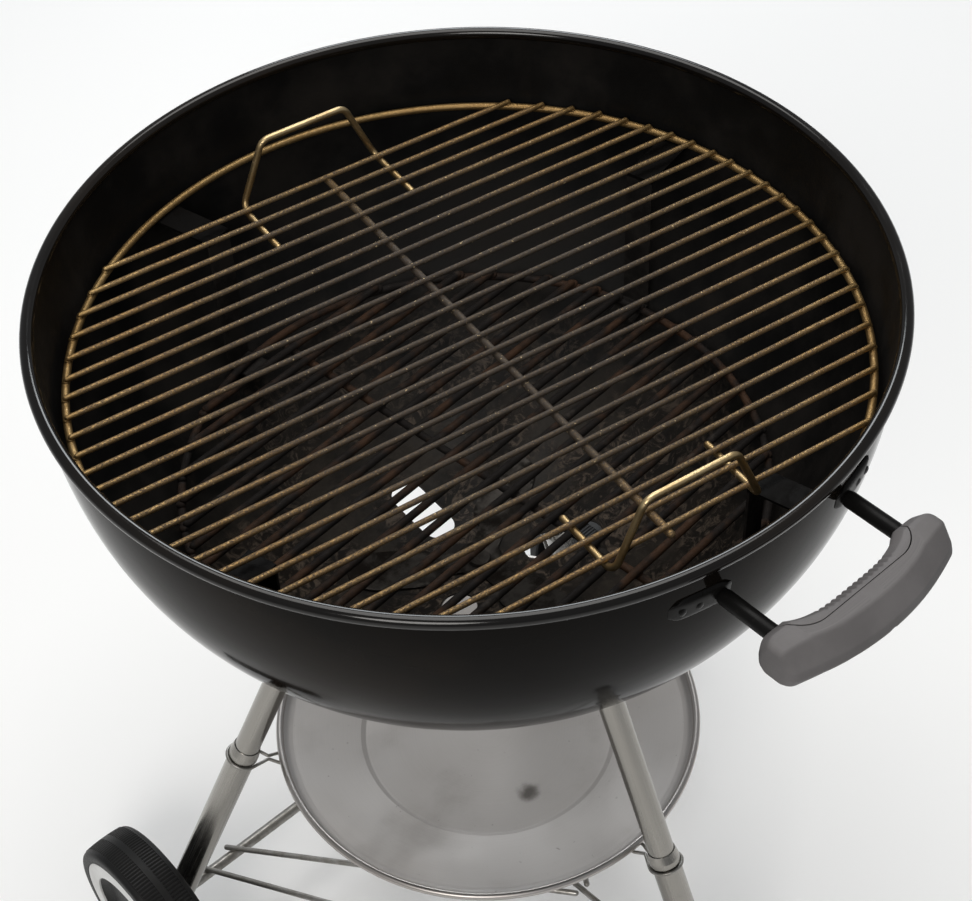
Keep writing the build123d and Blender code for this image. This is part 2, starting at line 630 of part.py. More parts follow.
def make_rack_rail(side):
    """Side wire from the axle beside a rear leg to the flank of the front leg."""
    front_x = side * (LOWER_LEG_RADIUS + RACK_WIRE / 2 + WELD_GAP)
    rear_x = side * (LEG_HALF_TRACK - LOWER_LEG_DIAMETER - RACK_WIRE)
    return rod(rack_point(rear_x, AXLE_Y + RACK_TAIL), rack_point(front_x, RACK_FRONT_Y), RACK_WIRE)


def make_rack_brace(side):
    """Inner wire from the axle to the rack's middle wire."""
    rear_x = side * (LEG_HALF_TRACK - RACK_BRACE_INSET)
    return rod(rack_point(rear_x, AXLE_Y + RACK_TAIL), rack_point(side * RACK_WIRE, -RACK_MEETING), RACK_WIRE)


def make_rack_spine():
    front_y = RACK_FRONT_Y + LOWER_LEG_RADIUS / LEG_COS + RACK_WIRE / 2 * LEG_SIN + WELD_GAP
    return rod(rack_point(0, AXLE_Y + RACK_TAIL), rack_point(0, front_y), RACK_WIRE)


def make_ash_pan():
    floor = PAN_RIM_HEIGHT - PAN_DEPTH
    rim = PAN_RIM_RADIUS - PAN_BEAD / 2
    step = PAN_RIM_RADIUS - PAN_STEP_INSET
    top_side = [
        (0, floor),
        (step - PAN_STEP_WIDTH / 2, floor),
        (step + PAN_STEP_WIDTH / 2, floor + PAN_STEP_HEIGHT),
        (PAN_RIM_RADIUS - PAN_LAND_WIDTH, PAN_RIM_HEIGHT - PAN_LAND_DROP),
        (rim, PAN_RIM_HEIGHT),
    ]
    under_side = [(radius, height - PAN_WALL) for radius, height in reversed(top_side)]
    bead = Pos(rim, PAN_RIM_HEIGHT) * Circle(PAN_BEAD / 2)
    return revolve_profile(make_face(Polyline(*top_side, *under_side, close=True)) + bead)


def touch_point(point, centre, radius):
    """Where a line from a point on the left touches a circle on the X axis, on its far side from X."""
    out = hypot(centre - point[0], point[1])
    turn = atan2(-point[1], centre - point[0]) + asin(radius / out)
    along = sqrt(out**2 - radius**2)
    return (point[0] + along * cos(turn), point[1] + along * sin(turn))


def make_pan_clips():
    """Spring wires round the legs under the collars, pinched and then looped under the pan's bead."""
    wrap = LOWER_LEG_RADIUS + CLIP_WIRE / 2 + WELD_GAP
    bead_in = LEG_FOOT_RADIUS - (PAN_RIM_RADIUS - PAN_BEAD / 2)
    bead_along = bead_in * LEG_SIN + PAN_RIM_HEIGHT * LEG_COS
    loop_centre = bead_in * LEG_COS - PAN_RIM_HEIGHT * LEG_SIN
    along = bead_along - PAN_BEAD / 2 - CLIP_WIRE / 2 - SEAT_GAP
    pinch = (CLIP_PINCH_REACH, CLIP_WIRE / 2 + WELD_GAP)
    loop_side = touch_point(pinch, loop_centre, CLIP_LOOP_RADIUS)
    mirrored = touch_point((-pinch[0], pinch[1]), 0, wrap)
    wrap_side = (-mirrored[0], mirrored[1])
    strand = FilletPolyline(wrap_side, pinch, loop_side, radius=CLIP_PINCH_BEND)
    path = Wire([
        *strand.edges(),
        ThreePointArc(loop_side, (loop_centre + CLIP_LOOP_RADIUS, 0), (loop_side[0], -loop_side[1])),
        *mirror(strand, Plane.XZ).edges(),
        ThreePointArc((wrap_side[0], -wrap_side[1]), (-wrap, 0), wrap_side),
    ])
    clip = Pos(0, 0, along) * wire_sweep(path, CLIP_WIRE)
    return [leg_plane(LEG_AZIMUTH + 360 * index / LEG_COUNT) * clip for index in range(LEG_COUNT)]


def handle_path(reach, inset):
    """U-shaped centre line of the handle bar, seen from above, ending inside the bowl."""
    end = -(BOWL_RADIUS - inset)
    return FilletPolyline(
        (-HANDLE_HALF_WIDTH, end),
        (-HANDLE_HALF_WIDTH, -reach),
        (HANDLE_HALF_WIDTH, -reach),
        (HANDLE_HALF_WIDTH, end),
        radius=HANDLE_BEND,
    )


def handle_bar(diameter):
    path = Pos(0, 0, HANDLE_HEIGHT) * handle_path(HANDLE_BAR_REACH, HANDLE_HALF_WIDTH / 2)
    return sweep(Plane(path @ 0, z_dir=path % 0) * Circle(diameter / 2), path)


def make_handle_bracket():
    bracket = handle_bar(HANDLE_BAR) - bowl_block(WELD_GAP)
    layer = bowl_block(WELD_GAP + FOOT_PLATE_THICKNESS) - bowl_block(WELD_GAP)
    for side in (1, -1):
        patch = Box(FOOT_PLATE_WIDTH, BOWL_RADIUS, FOOT_PLATE_HEIGHT)
        patch = fillet(patch.edges().filter_by(Axis.Y), FOOT_PLATE_CORNER)
        centre = Pos(side * (HANDLE_HALF_WIDTH + FOOT_PLATE_SHIFT), -BOWL_RADIUS, HANDLE_HEIGHT)
        bracket = bracket + (layer & (centre * patch))
    return bracket


def grip_body():
    """Whole grip: a bowed bar with horns at its ends that reach back over the handle bar."""
    end_outer = -GRIP_END_OUTER
    end_inner = -GRIP_END_INNER
    horn = GRIP_HALF_LENGTH - GRIP_HORN_WIDTH
    end_length = GRIP_HALF_LENGTH - GRIP_END_SLANT
    outline = [
        ThreePointArc((-GRIP_HALF_LENGTH, end_outer), (0, -GRIP_MID_OUTER), (GRIP_HALF_LENGTH, end_outer)),
        Polyline((GRIP_HALF_LENGTH, end_outer), (end_length, end_inner), (horn, end_inner)),
        ThreePointArc((horn, end_inner), (0, -GRIP_MID_INNER), (-horn, end_inner)),
        Polyline((-horn, end_inner), (-end_length, end_inner), (-GRIP_HALF_LENGTH, end_outer)),
    ]
    plan = make_face(outline)
    ends = plan.vertices().group_by(Axis.X)
    plan = fillet(ends[0] + ends[-1], GRIP_CORNER)
    ends = plan.vertices().group_by(Axis.Y)[-1].sort_by(Axis.X)
    plan = fillet([ends[0], ends[-1]], GRIP_HORN_CORNER)
    body = extrude(plan, GRIP_HEIGHT / 2, both=True)
    for group in (0, -1):
        body = chamfer(body.edges().group_by(Axis.Z)[group], GRIP_CHAMFER)
    first = GRIP_RIDGE_PITCH * (GRIP_RIDGE_COUNT - 1) / 2
    groove = Cylinder(GRIP_RIDGE_RADIUS, GRIP_HEIGHT)
    for index in range(GRIP_RIDGE_COUNT):
        x = index * GRIP_RIDGE_PITCH - first
        drop = (GRIP_MID_INNER - GRIP_END_INNER) * (x / horn) ** 2
        y = drop - GRIP_MID_INNER + GRIP_RIDGE_RADIUS - GRIP_RIDGE_DEPTH
        body = body - Pos(x, y) * groove
    return Pos(0, 0, HANDLE_HEIGHT) * body


def seam_space(grow):
    """Space inside the bar's centre line, where the inner grip half lies."""
    path = handle_path(HANDLE_BAR_REACH + grow, 0)
    close = Line(path @ 1, path @ 0)
    return Pos(0, 0, HANDLE_HEIGHT) * extrude(make_face([path, close]), GRIP_HEIGHT, both=True)


def grip_screw_axis(radius, start, end):
    """Round space along the grip's screw, under the bar, from one reach to another."""
    height = HANDLE_HEIGHT - HANDLE_BAR / 2 - SCREW_HEAD_RADIUS + SCREW_RADIUS - SLIP_FIT
    return rod((0, -start, height), (0, -end, height), 2 * radius)


SCREW_HEAD_REACH = GRIP_MID_OUTER - SCREW_RECESS
SCREW_TIP_REACH = HANDLE_BAR_REACH - SCREW_GRIP


def make_grip_half(grip, inner):
    channel = handle_bar(HANDLE_BAR + 2 * SLIP_FIT)
    space = seam_space(0) if inner else seam_space(WELD_GAP)
    half = (grip & space) if inner else (grip - space)
    shank = grip_screw_axis(SCREW_RADIUS + SLIP_FIT, SCREW_HEAD_REACH, SCREW_TIP_REACH - SLIP_FIT)
    head_seat = SCREW_HEAD_REACH - SCREW_HEAD
    recess = grip_screw_axis(SCREW_HEAD_RADIUS + SLIP_FIT, GRIP_MID_OUTER + SCREW_RECESS, head_seat)
    return half - channel - shank - recess


def make_grip_screw():
    head = grip_screw_axis(SCREW_HEAD_RADIUS, SCREW_HEAD_REACH, SCREW_HEAD_REACH - SCREW_HEAD + SLIP_FIT)
    shank = grip_screw_axis(SCREW_RADIUS, SCREW_HEAD_REACH, SCREW_TIP_REACH)
    return head + shank


GRIP = grip_body()

NODES = {
    "bowl": make_bowl(),
    "grate_brackets": make_grate_brackets(),
    "leg_sockets": make_leg_sockets(),
    "front_leg_upper": make_upper_leg(LEG_AZIMUTH),
    "left_leg_upper": make_upper_leg(REAR_LEFT),
    "right_leg_upper": make_upper_leg(REAR_RIGHT),
    "front_leg_lower": make_front_lower_leg(),
    "left_leg_lower": make_rear_lower_leg(REAR_LEFT),
    "right_leg_lower": make_rear_lower_leg(REAR_RIGHT),
    "leg_plugs": make_leg_plugs(),
    "foot_cap": make_foot_cap(),
    "axle": make_axle(),
    "push_nuts": make_push_nuts(),
    "rack_rail_left": make_rack_rail(-1),
    "rack_rail_right": make_rack_rail(1),
    "rack_brace_left": make_rack_brace(-1),
    "rack_brace_right": make_rack_brace(1),
    "rack_spine": make_rack_spine(),
    "pan_clips": make_pan_clips(),
    "handle_bracket": make_handle_bracket(),
    "grip_inner": make_grip_half(GRIP, True),
    "grip_outer": make_grip_half(GRIP, False),
    "grip_screw": make_grip_screw(),
    "cooking_grate": make_cooking_grate(),
    "grate_loop_rear": make_grate_loop(1),
    "grate_loop_front": make_grate_loop(-1),
    "charcoal_grate": make_charcoal_grate(),
    "damper_blades": make_damper_blades(),
    "damper_stem": make_damper_stem(),
    "damper_lever": make_damper_lever(),
    "lever_knob": make_lever_knob(),
    "ash_pan": make_ash_pan(),
    "wheel_left": make_wheel(-1),
    "wall_ring_left": make_wall_ring(-1),
    "hub_cap_left": make_hub_cap(-1),
    "wheel_right": make_wheel(1),
    "wall_ring_right": make_wall_ring(1),
    "hub_cap_right": make_hub_cap(1),
}

for name, shape in NODES.items():
    solids = shape if isinstance(shape, list) else [shape]
    placed = Compound([CENTRING * solid for piece in solids for solid in piece.solids()])
    export_step(placed, f"parts/{name}.step")
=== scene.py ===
from math import atan2, cos, hypot, pi, radians, sin, sqrt, tan
from random import Random

import bmesh
import bpy
from mathutils import Matrix, Vector


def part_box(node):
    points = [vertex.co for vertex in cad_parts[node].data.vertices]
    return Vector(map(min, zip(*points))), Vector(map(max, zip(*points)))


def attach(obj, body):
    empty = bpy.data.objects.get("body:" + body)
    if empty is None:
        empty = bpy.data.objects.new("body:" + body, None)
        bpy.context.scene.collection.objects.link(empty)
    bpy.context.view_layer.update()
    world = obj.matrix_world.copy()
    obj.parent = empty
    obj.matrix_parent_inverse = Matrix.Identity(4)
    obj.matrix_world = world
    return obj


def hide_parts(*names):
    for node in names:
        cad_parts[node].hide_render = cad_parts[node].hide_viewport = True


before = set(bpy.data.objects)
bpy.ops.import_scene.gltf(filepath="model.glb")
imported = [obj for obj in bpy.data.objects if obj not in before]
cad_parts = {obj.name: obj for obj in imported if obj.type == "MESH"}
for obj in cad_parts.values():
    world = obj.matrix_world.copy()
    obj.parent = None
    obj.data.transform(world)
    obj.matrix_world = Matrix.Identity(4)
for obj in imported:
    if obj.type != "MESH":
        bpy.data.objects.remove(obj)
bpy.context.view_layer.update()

# Places read from the frame, in metres
BOWL_LOW, BOWL_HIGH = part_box("bowl")
AXIS_Y = (BOWL_LOW.y + BOWL_HIGH.y) / 2
RIM_RADIUS = (BOWL_HIGH.x - BOWL_LOW.x) / 2
GRATE_LOW, GRATE_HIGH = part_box("cooking_grate")
COAL_LOW, COAL_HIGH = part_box("charcoal_grate")
LOOP_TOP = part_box("grate_loop_rear")[1].z
PAN_LOW, PAN_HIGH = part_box("ash_pan")
AXLE_LOW, AXLE_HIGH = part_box("axle")
WHEEL_LOW, WHEEL_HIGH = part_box("wheel_right")
GRIP_LOW, GRIP_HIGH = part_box("grip_outer")
BRACKET_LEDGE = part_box("grate_brackets")[1].z - 0.0025

# Clearances
FIT_GAP = 0.0001
CLIP_GAP = 0.00015
SEAT_GAP = 0.0003
MERGE_DISTANCE = 1e-6

# Bowl
RIM_BEAD = 0.009
RIM_LINE = BOWL_HIGH.z - RIM_BEAD / 2
RIM_OVERHANG = 0.005
BOWL_RADIUS = RIM_RADIUS - RIM_OVERHANG
BOWL_DEPTH = 0.282
BOWL_KNUCKLE = 0.257
BOWL_BASE_TURN = radians(12)
BOWL_SIDE_TURN = radians(10)
BOWL_WALL = 0.0016
BOWL_SEGMENTS = 240
VENT_AZIMUTHS = (90, -30, -150)
VENT_INNER = 0.035
VENT_OUTER = 0.095
VENT_HALF_WIDTH = 0.013
STEM_HOLE = 0.00505

# Grates
GRATE_TURN = radians(-9.5)
GRATE_RING_WIRE = 0.0056
GRATE_BAR_WIRE = 0.004
GRATE_BAR_PITCH = 0.0175
GRATE_BAR_PAIRS = 12
GRATE_BAR_PROUD = 0.001
GRATE_CROSS_SHIFT = 0.011
FRONT_LOOP_SHIFT = 0.020
LOOP_WIRE = 0.005
LOOP_FOOT_HALF = 0.056
LOOP_TOP_HALF = 0.034
LOOP_INSET = 0.0516
LOOP_FOOT_LENGTH = 0.054
LOOP_BEND = 0.009
COAL_TURN = radians(5)
COAL_WIRE = 0.006
COAL_BAR_PITCH = 0.019
COAL_BAR_PAIRS = 10
WIRE_SIDES = 12
# Unevenness of the bars: sideways, from end to end, up and down, and lengthwise as a share of the first
BAR_SLIP, BAR_LEAN, BAR_SAG, BAR_CREEP = 0.0004, 0.0005, 0.00015, 0.2
# Weld nuggets, as shares of a bar's thickness
NUGGET_WIDTH, NUGGET_HEIGHT = 0.62, 0.55

# Legs, wheels and rack
LEG_AZIMUTHS = {"front": -90, "right": 30, "left": 150}
LEG_TILT = radians(23.3)
LEG_FOOT_RADIUS = 0.318
UPPER_LEG_RADIUS = 0.0103
LOWER_LEG_RADIUS = 0.0115
LEG_WALL = 0.0011
COLLAR_ALONG = 0.272 / cos(LEG_TILT)
COLLAR_RADIUS = 0.013
COLLAR_LENGTH = 0.011
LEG_OVERLAP = 0.045
LEG_TOP_GAP = 0.0025
LEG_TAIL = 0.016
FOOT_SOLE = 0.003
FOOT_CAP_WALL = 0.0033
FOOT_CAP_LENGTH = 0.034
AXLE_RADIUS = (AXLE_HIGH.z - AXLE_LOW.z) / 2
AXLE_HEIGHT = (AXLE_HIGH.z + AXLE_LOW.z) / 2
AXLE_Y = (AXLE_HIGH.y + AXLE_LOW.y) / 2
WHEEL_RADIUS = AXLE_HEIGHT
WHEEL_INNER = WHEEL_LOW.x
WHEEL_WIDTH = WHEEL_HIGH.x - WHEEL_LOW.x
# Inner side, web, hub and outer wall of a wheel: distance from its inner face, and radius
WHEEL_SECTION = [
    (0, 0.068), (0.0015, 0.0665), (0.020, 0.064), (0.020, 0.0145), (0.0185, 0.013), (0.0146, 0.013),
    (0.014, 0.0124), (0.014, 0.0048), (0.029, 0.0048), (0.029, 0.0172), (0.035, 0.0172), (0.035, 0.0435),
    (0.0352, 0.0445), (0.0409, 0.0519), (0.0409, 0.0671), (0.0422, 0.0671), (0.043, 0.0680), (0.043, 0.0715),
]
# Pale band on a wheel's outer wall: radius, and depth below the outer face
WALL_BAND = ((0.052, 0.002), (0.067, 0.002), (0.067, 0.0006), (0.0665, 0.0001), (0.0595, 0), (0.0525, 0.0001),
             (0.052, 0.0006))
TREAD_CROWN = 0.0016
TREAD_RIBS = 150
TREAD_RIB_DEPTH = 0.0009
RACK_WIRE = 0.005
RACK_NODES = ("rack_rail_left", "rack_rail_right", "rack_brace_left", "rack_brace_right", "rack_spine")

# Ash pan and its clips
PAN_BEAD = 0.006
PAN_WALL = 0.0012
PAN_RIM_RADIUS = (PAN_HIGH.x - PAN_LOW.x) / 2
PAN_BEAD_RADIUS = PAN_RIM_RADIUS - PAN_BEAD / 2
PAN_RIM_HEIGHT = PAN_HIGH.z - PAN_BEAD / 2
PAN_FLOOR_DROP = 0.020
PAN_STEP_RADIUS = PAN_RIM_RADIUS - 0.071
# Place of a dark mark on the pan's floor, from the bowl's axis
PAN_MARK = (-0.0196, -0.0700)
CLIP_WIRE = 0.0028
CLIP_PINCH_REACH = 0.022
CLIP_LOOP_RADIUS = 0.005

# Handle
HANDLE_HEIGHT = (GRIP_LOW.z + GRIP_HIGH.z) / 2
HANDLE_HALF_WIDTH = 0.055
HANDLE_BAR = 0.011
HANDLE_BEND = 0.022
GRIP_HALF_LENGTH = (GRIP_HIGH.x - GRIP_LOW.x) / 2
GRIP_HALF_HEIGHT = (GRIP_HIGH.z - GRIP_LOW.z) / 2
GRIP_MID_OUTER = AXIS_Y - GRIP_LOW.y
GRIP_END_OUTER = GRIP_MID_OUTER - 0.014
GRIP_MID_INNER = GRIP_MID_OUTER - 0.035
GRIP_END_INNER = GRIP_END_OUTER - 0.030
HANDLE_BAR_REACH = GRIP_MID_OUTER - 0.024
# Section of the grip: shares of its depth and half height, and the bend at each corner
GRIP_MARKS = ((0, -0.25), (0.025, 0.42), (0.21, 0.94), (0.31, 1), (0.63, 1), (0.94, 0.10), (1, -0.30),
              (0.88, -0.86), (0.75, -1), (0.20, -1), (0.03, -0.72))
GRIP_BENDS = (0.0040, 0.0045, 0.0030, 0.0040, 0.0035, 0.0050, 0.0040, 0.0030, 0.0030, 0.0040, 0.0040)

# Frame of the bowl's upright axis, on the floor
ON_AXIS = Matrix.Translation((0, AXIS_Y, 0))
# Frame of the handle: local x across, local y outwards from the bowl's axis, local z up
HANDLE_FRAME = Matrix.Translation((0, AXIS_Y, HANDLE_HEIGHT)) @ Matrix.Diagonal((1, -1, 1, 1))
# Frame of the grip's screw, under the handle bar: local z outwards
SCREW_DROP = HANDLE_BAR / 2 + 0.0019
SCREW_FRAME = HANDLE_FRAME @ Matrix.Translation((0, 0, -SCREW_DROP)) @ Matrix.Rotation(-pi / 2, 4, "X")

RANDOM = Random(7)


# Mesh helpers

def turns(count):
    """Equal angles round a full turn."""
    return [2 * pi * step / count for step in range(count)]


def mirrored(points):
    """Line along points on the -X side, then back along the same points on the +X side."""
    return [(-x, *rest) for x, *rest in points] + points[::-1]


def arc_points(centre, radius, start, end, steps):
    """Points along an arc in a plane, both ends included, with angles in radians."""
    points = []
    for step in range(steps + 1):
        angle = start + (end - start) * step / steps
        points.append((centre[0] + radius * cos(angle), centre[1] + radius * sin(angle)))
    return points


def bent(points, bend, steps=6):
    """Line through points whose inner corners are rounded to a radius, in two or three dimensions."""
    corners = [Vector(point) for point in points]
    line = [corners[0]]
    for before, corner, after in zip(corners, corners[1:], corners[2:]):
        back = (before - corner).normalized()
        ahead = (after - corner).normalized()
        half = back.angle(ahead) / 2
        middle = (back + ahead).normalized()
        centre = corner + middle * (bend / sin(half))
        start = corner + back * (bend / tan(half)) - centre
        end = corner + ahead * (bend / tan(half)) - centre
        turn = start.angle(end)
        for step in range(steps + 1):
            share = step / steps
            mixed = start * sin((1 - share) * turn) + end * sin(share * turn)
            line.append(centre + mixed / sin(turn))
    line.append(corners[-1])
    return [tuple(point) for point in line]


class Shape:
    """Vertices and faces of one piece while it is being made."""

    def __init__(self):
        self.points = []
        self.faces = []

    def add(self, points, faces):
        first = len(self.points)
        self.points += [Vector(point) for point in points]
        self.faces += [[first + index for index in face] for face in faces]
        return self

    def join(self, other):
        """Take in the faces of another shape."""
        return self.add(other.points, other.faces)

    def rings(self, rings, closed_rings=True, closed_line=False, caps=False):
        """Skin over rings of equal length, joined in turn."""
        size = len(rings[0])
        count = len(rings)
        points = [point for ring in rings for point in ring]
        faces = []
        for ring in range(count if closed_line else count - 1):
            here = ring * size
            there = (ring + 1) % count * size
            for side in range(size if closed_rings else size - 1):
                next_side = (side + 1) % size
                faces.append([here + side, here + next_side, there + next_side, there + side])
        if caps:
            faces.append(list(range(size))[::-1])
            faces.append([(count - 1) * size + side for side in range(size)])
        return self.add(points, faces)

    def lathe(self, profile, segments, closed=False):
        """Turn a profile of radius and height about the local Z axis."""
        rings = [[(r * cos(turn), r * sin(turn), z) for r, z in profile] for turn in turns(segments)]
        return self.rings(rings, closed_rings=closed, closed_line=True)

    def tube(self, line, radius, sides=WIRE_SIDES, closed=False):
        """Round wire along a line, with domed ends where the line is open."""
        line = [Vector(point) for point in line]
        count = len(line)
        tangents = []
        for index in range(count):
            if closed:
                step = line[(index + 1) % count] - line[index - 1]
            else:
                step = line[min(index + 1, count - 1)] - line[max(index - 1, 0)]
            tangents.append(step.normalized())
        across = tangents[0].orthogonal().normalized()
        rings = []
        for point, tangent in zip(line, tangents):
            across = (across - tangent * across.dot(tangent)).normalized()
            rings.append((point, tangent, across))

        def ring(point, tangent, across, width):
            other = tangent.cross(across)
            return [point + (across * cos(turn) + other * sin(turn)) * width for turn in turns(sides)]

        skin = [ring(*place, radius) for place in rings]
        if not closed:
            domes = [(0.45, 0.89), (0.8, 0.6), (0.97, 0.25)]
            for out, width in domes:
                for (point, tangent, across), way in ((rings[0], -1), (rings[-1], 1)):
                    made = ring(point + tangent * radius * out * way, tangent, across, radius * width)
                    skin.insert(0 if way < 0 else len(skin), made)
        return self.rings(skin, closed_line=closed, caps=not closed)

    def ball(self, centre, radii, sides=10, layers=6):
        """Flattened ball, used for weld nuggets."""
        rings = []
        for layer in range(1, layers):
            tilt = pi * layer / layers
            rings.append([(centre[0] + radii[0] * sin(tilt) * cos(turn),
                           centre[1] + radii[1] * sin(tilt) * sin(turn),
                           centre[2] - radii[2] * cos(tilt)) for turn in turns(sides)])
        return self.rings(rings, caps=True)

    def placed(self, matrix):
        """The same shape with its points moved by a matrix."""
        self.points = [matrix @ point for point in self.points]
        return self


def mesh_from(name, shape, local=None):
    """Blender mesh of a shape, with its own coordinates kept as an attribute for its finish."""
    mesh = bpy.data.meshes.new(name)
    mesh.from_pydata(shape.points, [], shape.faces)
    keep = mesh.attributes.new("local", "FLOAT_VECTOR", "POINT")
    inverse = (local or Matrix.Identity(4)).inverted()
    flat = [value for point in shape.points for value in inverse @ point]
    keep.data.foreach_set("vector", flat)
    return mesh


def add_object(name, data):
    """New object in the scene."""
    obj = bpy.data.objects.new(name, data)
    bpy.context.scene.collection.objects.link(obj)
    return obj


def weld(obj):
    """Join vertices that lie on each other and turn all faces outwards."""
    work = bmesh.new()
    work.from_mesh(obj.data)
    bmesh.ops.remove_doubles(work, verts=work.verts, dist=MERGE_DISTANCE)
    bmesh.ops.dissolve_degenerate(work, edges=work.edges, dist=MERGE_DISTANCE)
    bmesh.ops.recalc_face_normals(work, faces=work.faces)
    work.to_mesh(obj.data)
    work.free()


def smooth(obj, angle):
    """Smooth shading with edges kept sharp above an angle."""
    count = len(obj.data.polygons)
    obj.data.polygons.foreach_set("use_smooth", [True] * count)
    obj.data.set_sharp_from_angle(angle=radians(angle))


def piece(name, shape, materials, body, nodes, place=None, sharp=35):
    """New visible piece, set at a place, that stands for CAD nodes and rides on a body."""
    if place is not None:
        shape.placed(place)
    obj = add_object(name, mesh_from(name, shape, place))
    for material in materials:
        obj.data.materials.append(material)
    weld(obj)
    smooth(obj, sharp)
    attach(obj, body)
    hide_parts(*nodes)
    return obj


def trim(obj, cutter, operation):
    """Cut a piece with a closed shape, or keep only what lies inside it."""
    tool = add_object("cutter", mesh_from("cutter", cutter))
    weld(tool)
    change = obj.modifiers.new("trim", "BOOLEAN")
    change.object = tool
    change.operation = operation
    change.solver = "EXACT"
    graph = bpy.context.evaluated_depsgraph_get()
    made = bpy.data.meshes.new_from_object(obj.evaluated_get(graph), depsgraph=graph)
    obj.modifiers.clear()
    obj.data = made
    bpy.data.objects.remove(tool)


def frame_from(*columns):
    """Matrix whose columns are three axes and an origin."""
    return Matrix([[column[row] for column in columns] for row in range(3)] + [[0, 0, 0, 1]])


def leg_frame(azimuth):
    """Frame on a leg's axis: origin on the floor, z up the leg, x inwards."""
    angle = radians(azimuth)
    out = Vector((cos(angle), sin(angle), 0))
    up_leg = -out * sin(LEG_TILT) + Vector((0, 0, cos(LEG_TILT)))
    inwards = -out * cos(LEG_TILT) - Vector((0, 0, sin(LEG_TILT)))
    across = up_leg.cross(inwards)
    return frame_from(inwards, across, up_leg, out * LEG_FOOT_RADIUS + Vector((0, AXIS_Y, 0)))


# Finishes

class Finish:
    """Node tree of one material with its shader."""

    def __init__(self, name, place="local"):
        self.material = bpy.data.materials.new(name)
        self.material.use_nodes = True
        self.tree = self.material.node_tree
        self.shader = self.tree.nodes["Principled BSDF"]
        if place == "local":
            source = self.node("ShaderNodeAttribute", attribute_name="local")
            self.place = source.outputs["Vector"]
        else:
            self.place = self.node("ShaderNodeTexCoord").outputs["Object"]

    def node(self, kind, **settings):
        made = self.tree.nodes.new(kind)
        for key, value in settings.items():
            setattr(made, key, value)
        return made

    def feed(self, socket, value):
        """Set a socket to a constant, or link it to another node's output."""
        if isinstance(value, bpy.types.NodeSocket):
            self.tree.links.new(value, socket)
        elif isinstance(value, tuple) and len(value) == 3 and socket.type == "RGBA":
            socket.default_value = (*value, 1)
        else:
            socket.default_value = value

    def feed_all(self, node, **values):
        for key, value in values.items():
            self.feed(node.inputs[key.replace("_", " ")], value)

    def set(self, **values):
        self.feed_all(self.shader, **values)

    def stretch(self, scale):
        made = self.node("ShaderNodeMapping")
        self.feed_all(made, Vector=self.place, Scale=scale)
        return made.outputs["Vector"]

    def noise(self, scale, detail=4.0, rough=0.55, place=None, distort=0.0):
        made = self.node("ShaderNodeTexNoise")
        self.feed_all(made, Vector=place or self.place, Scale=scale, Detail=detail, Roughness=rough,
                      Distortion=distort)
        return made.outputs["Fac"]

    def band(self, value, low, high, start=0.0, end=1.0):
        """Map a value smoothly from a low to a high mark onto a range."""
        made = self.node("ShaderNodeMapRange", interpolation_type="SMOOTHSTEP")
        self.feed_all(made, Value=value, From_Min=low, From_Max=high, To_Min=start, To_Max=end)
        return made.outputs["Result"]

    def math(self, operation, first, second=0.0):
        made = self.node("ShaderNodeMath", operation=operation)
        self.feed(made.inputs[0], first)
        self.feed(made.inputs[1], second)
        return made.outputs[0]

    def times(self, first, second):
        return self.math("MULTIPLY", first, second)

    def plus(self, first, second):
        return self.math("ADD", first, second)

    def mix(self, share, first, second):
        made = self.node("ShaderNodeMix", data_type="RGBA")
        self.feed(made.inputs[0], share)
        self.feed(made.inputs[6], first)
        self.feed(made.inputs[7], second)
        return made.outputs[2]

    def split(self):
        made = self.node("ShaderNodeSeparateXYZ")
        self.feed(made.inputs[0], self.place)
        return made.outputs

    def radius(self):
        """Distance from the local Z axis."""
        x, y, _ = self.split()
        return self.math("SQRT", self.plus(self.times(x, x), self.times(y, y)))

    def bump(self, height, strength, distance=0.001):
        """Raise the surface by a height, as the last step of a finish, and give its material."""
        made = self.node("ShaderNodeBump")
        self.feed_all(made, Height=height, Strength=strength, Distance=distance)
        self.feed(self.shader.inputs["Normal"], made.outputs["Normal"])
        return self.material


def enamel_outside(name, gloss, place="local"):
    """Black porcelain enamel with a faint orange peel, its colour tinted brown as a painted reflection of a
    brown room floor.
    """
    look = Finish(name, place)
    peel = look.noise(70, 2)
    cloud = look.band(look.noise(6, 5), 0.4, 0.75)
    # Black enamel's own colour tinted brown: painted reflection of a brown room floor, its tone varied at
    # random by the cloud
    look.set(
        Base_Color=look.mix(cloud, (0.0036, 0.0030, 0.0025), (0.0096, 0.0070, 0.0048)),
        Roughness=look.band(look.noise(26, 6), 0.3, 0.75, 0.07, 0.16),
        Specular_IOR_Level=gloss,
    )
    return look.bump(peel, 0.05)


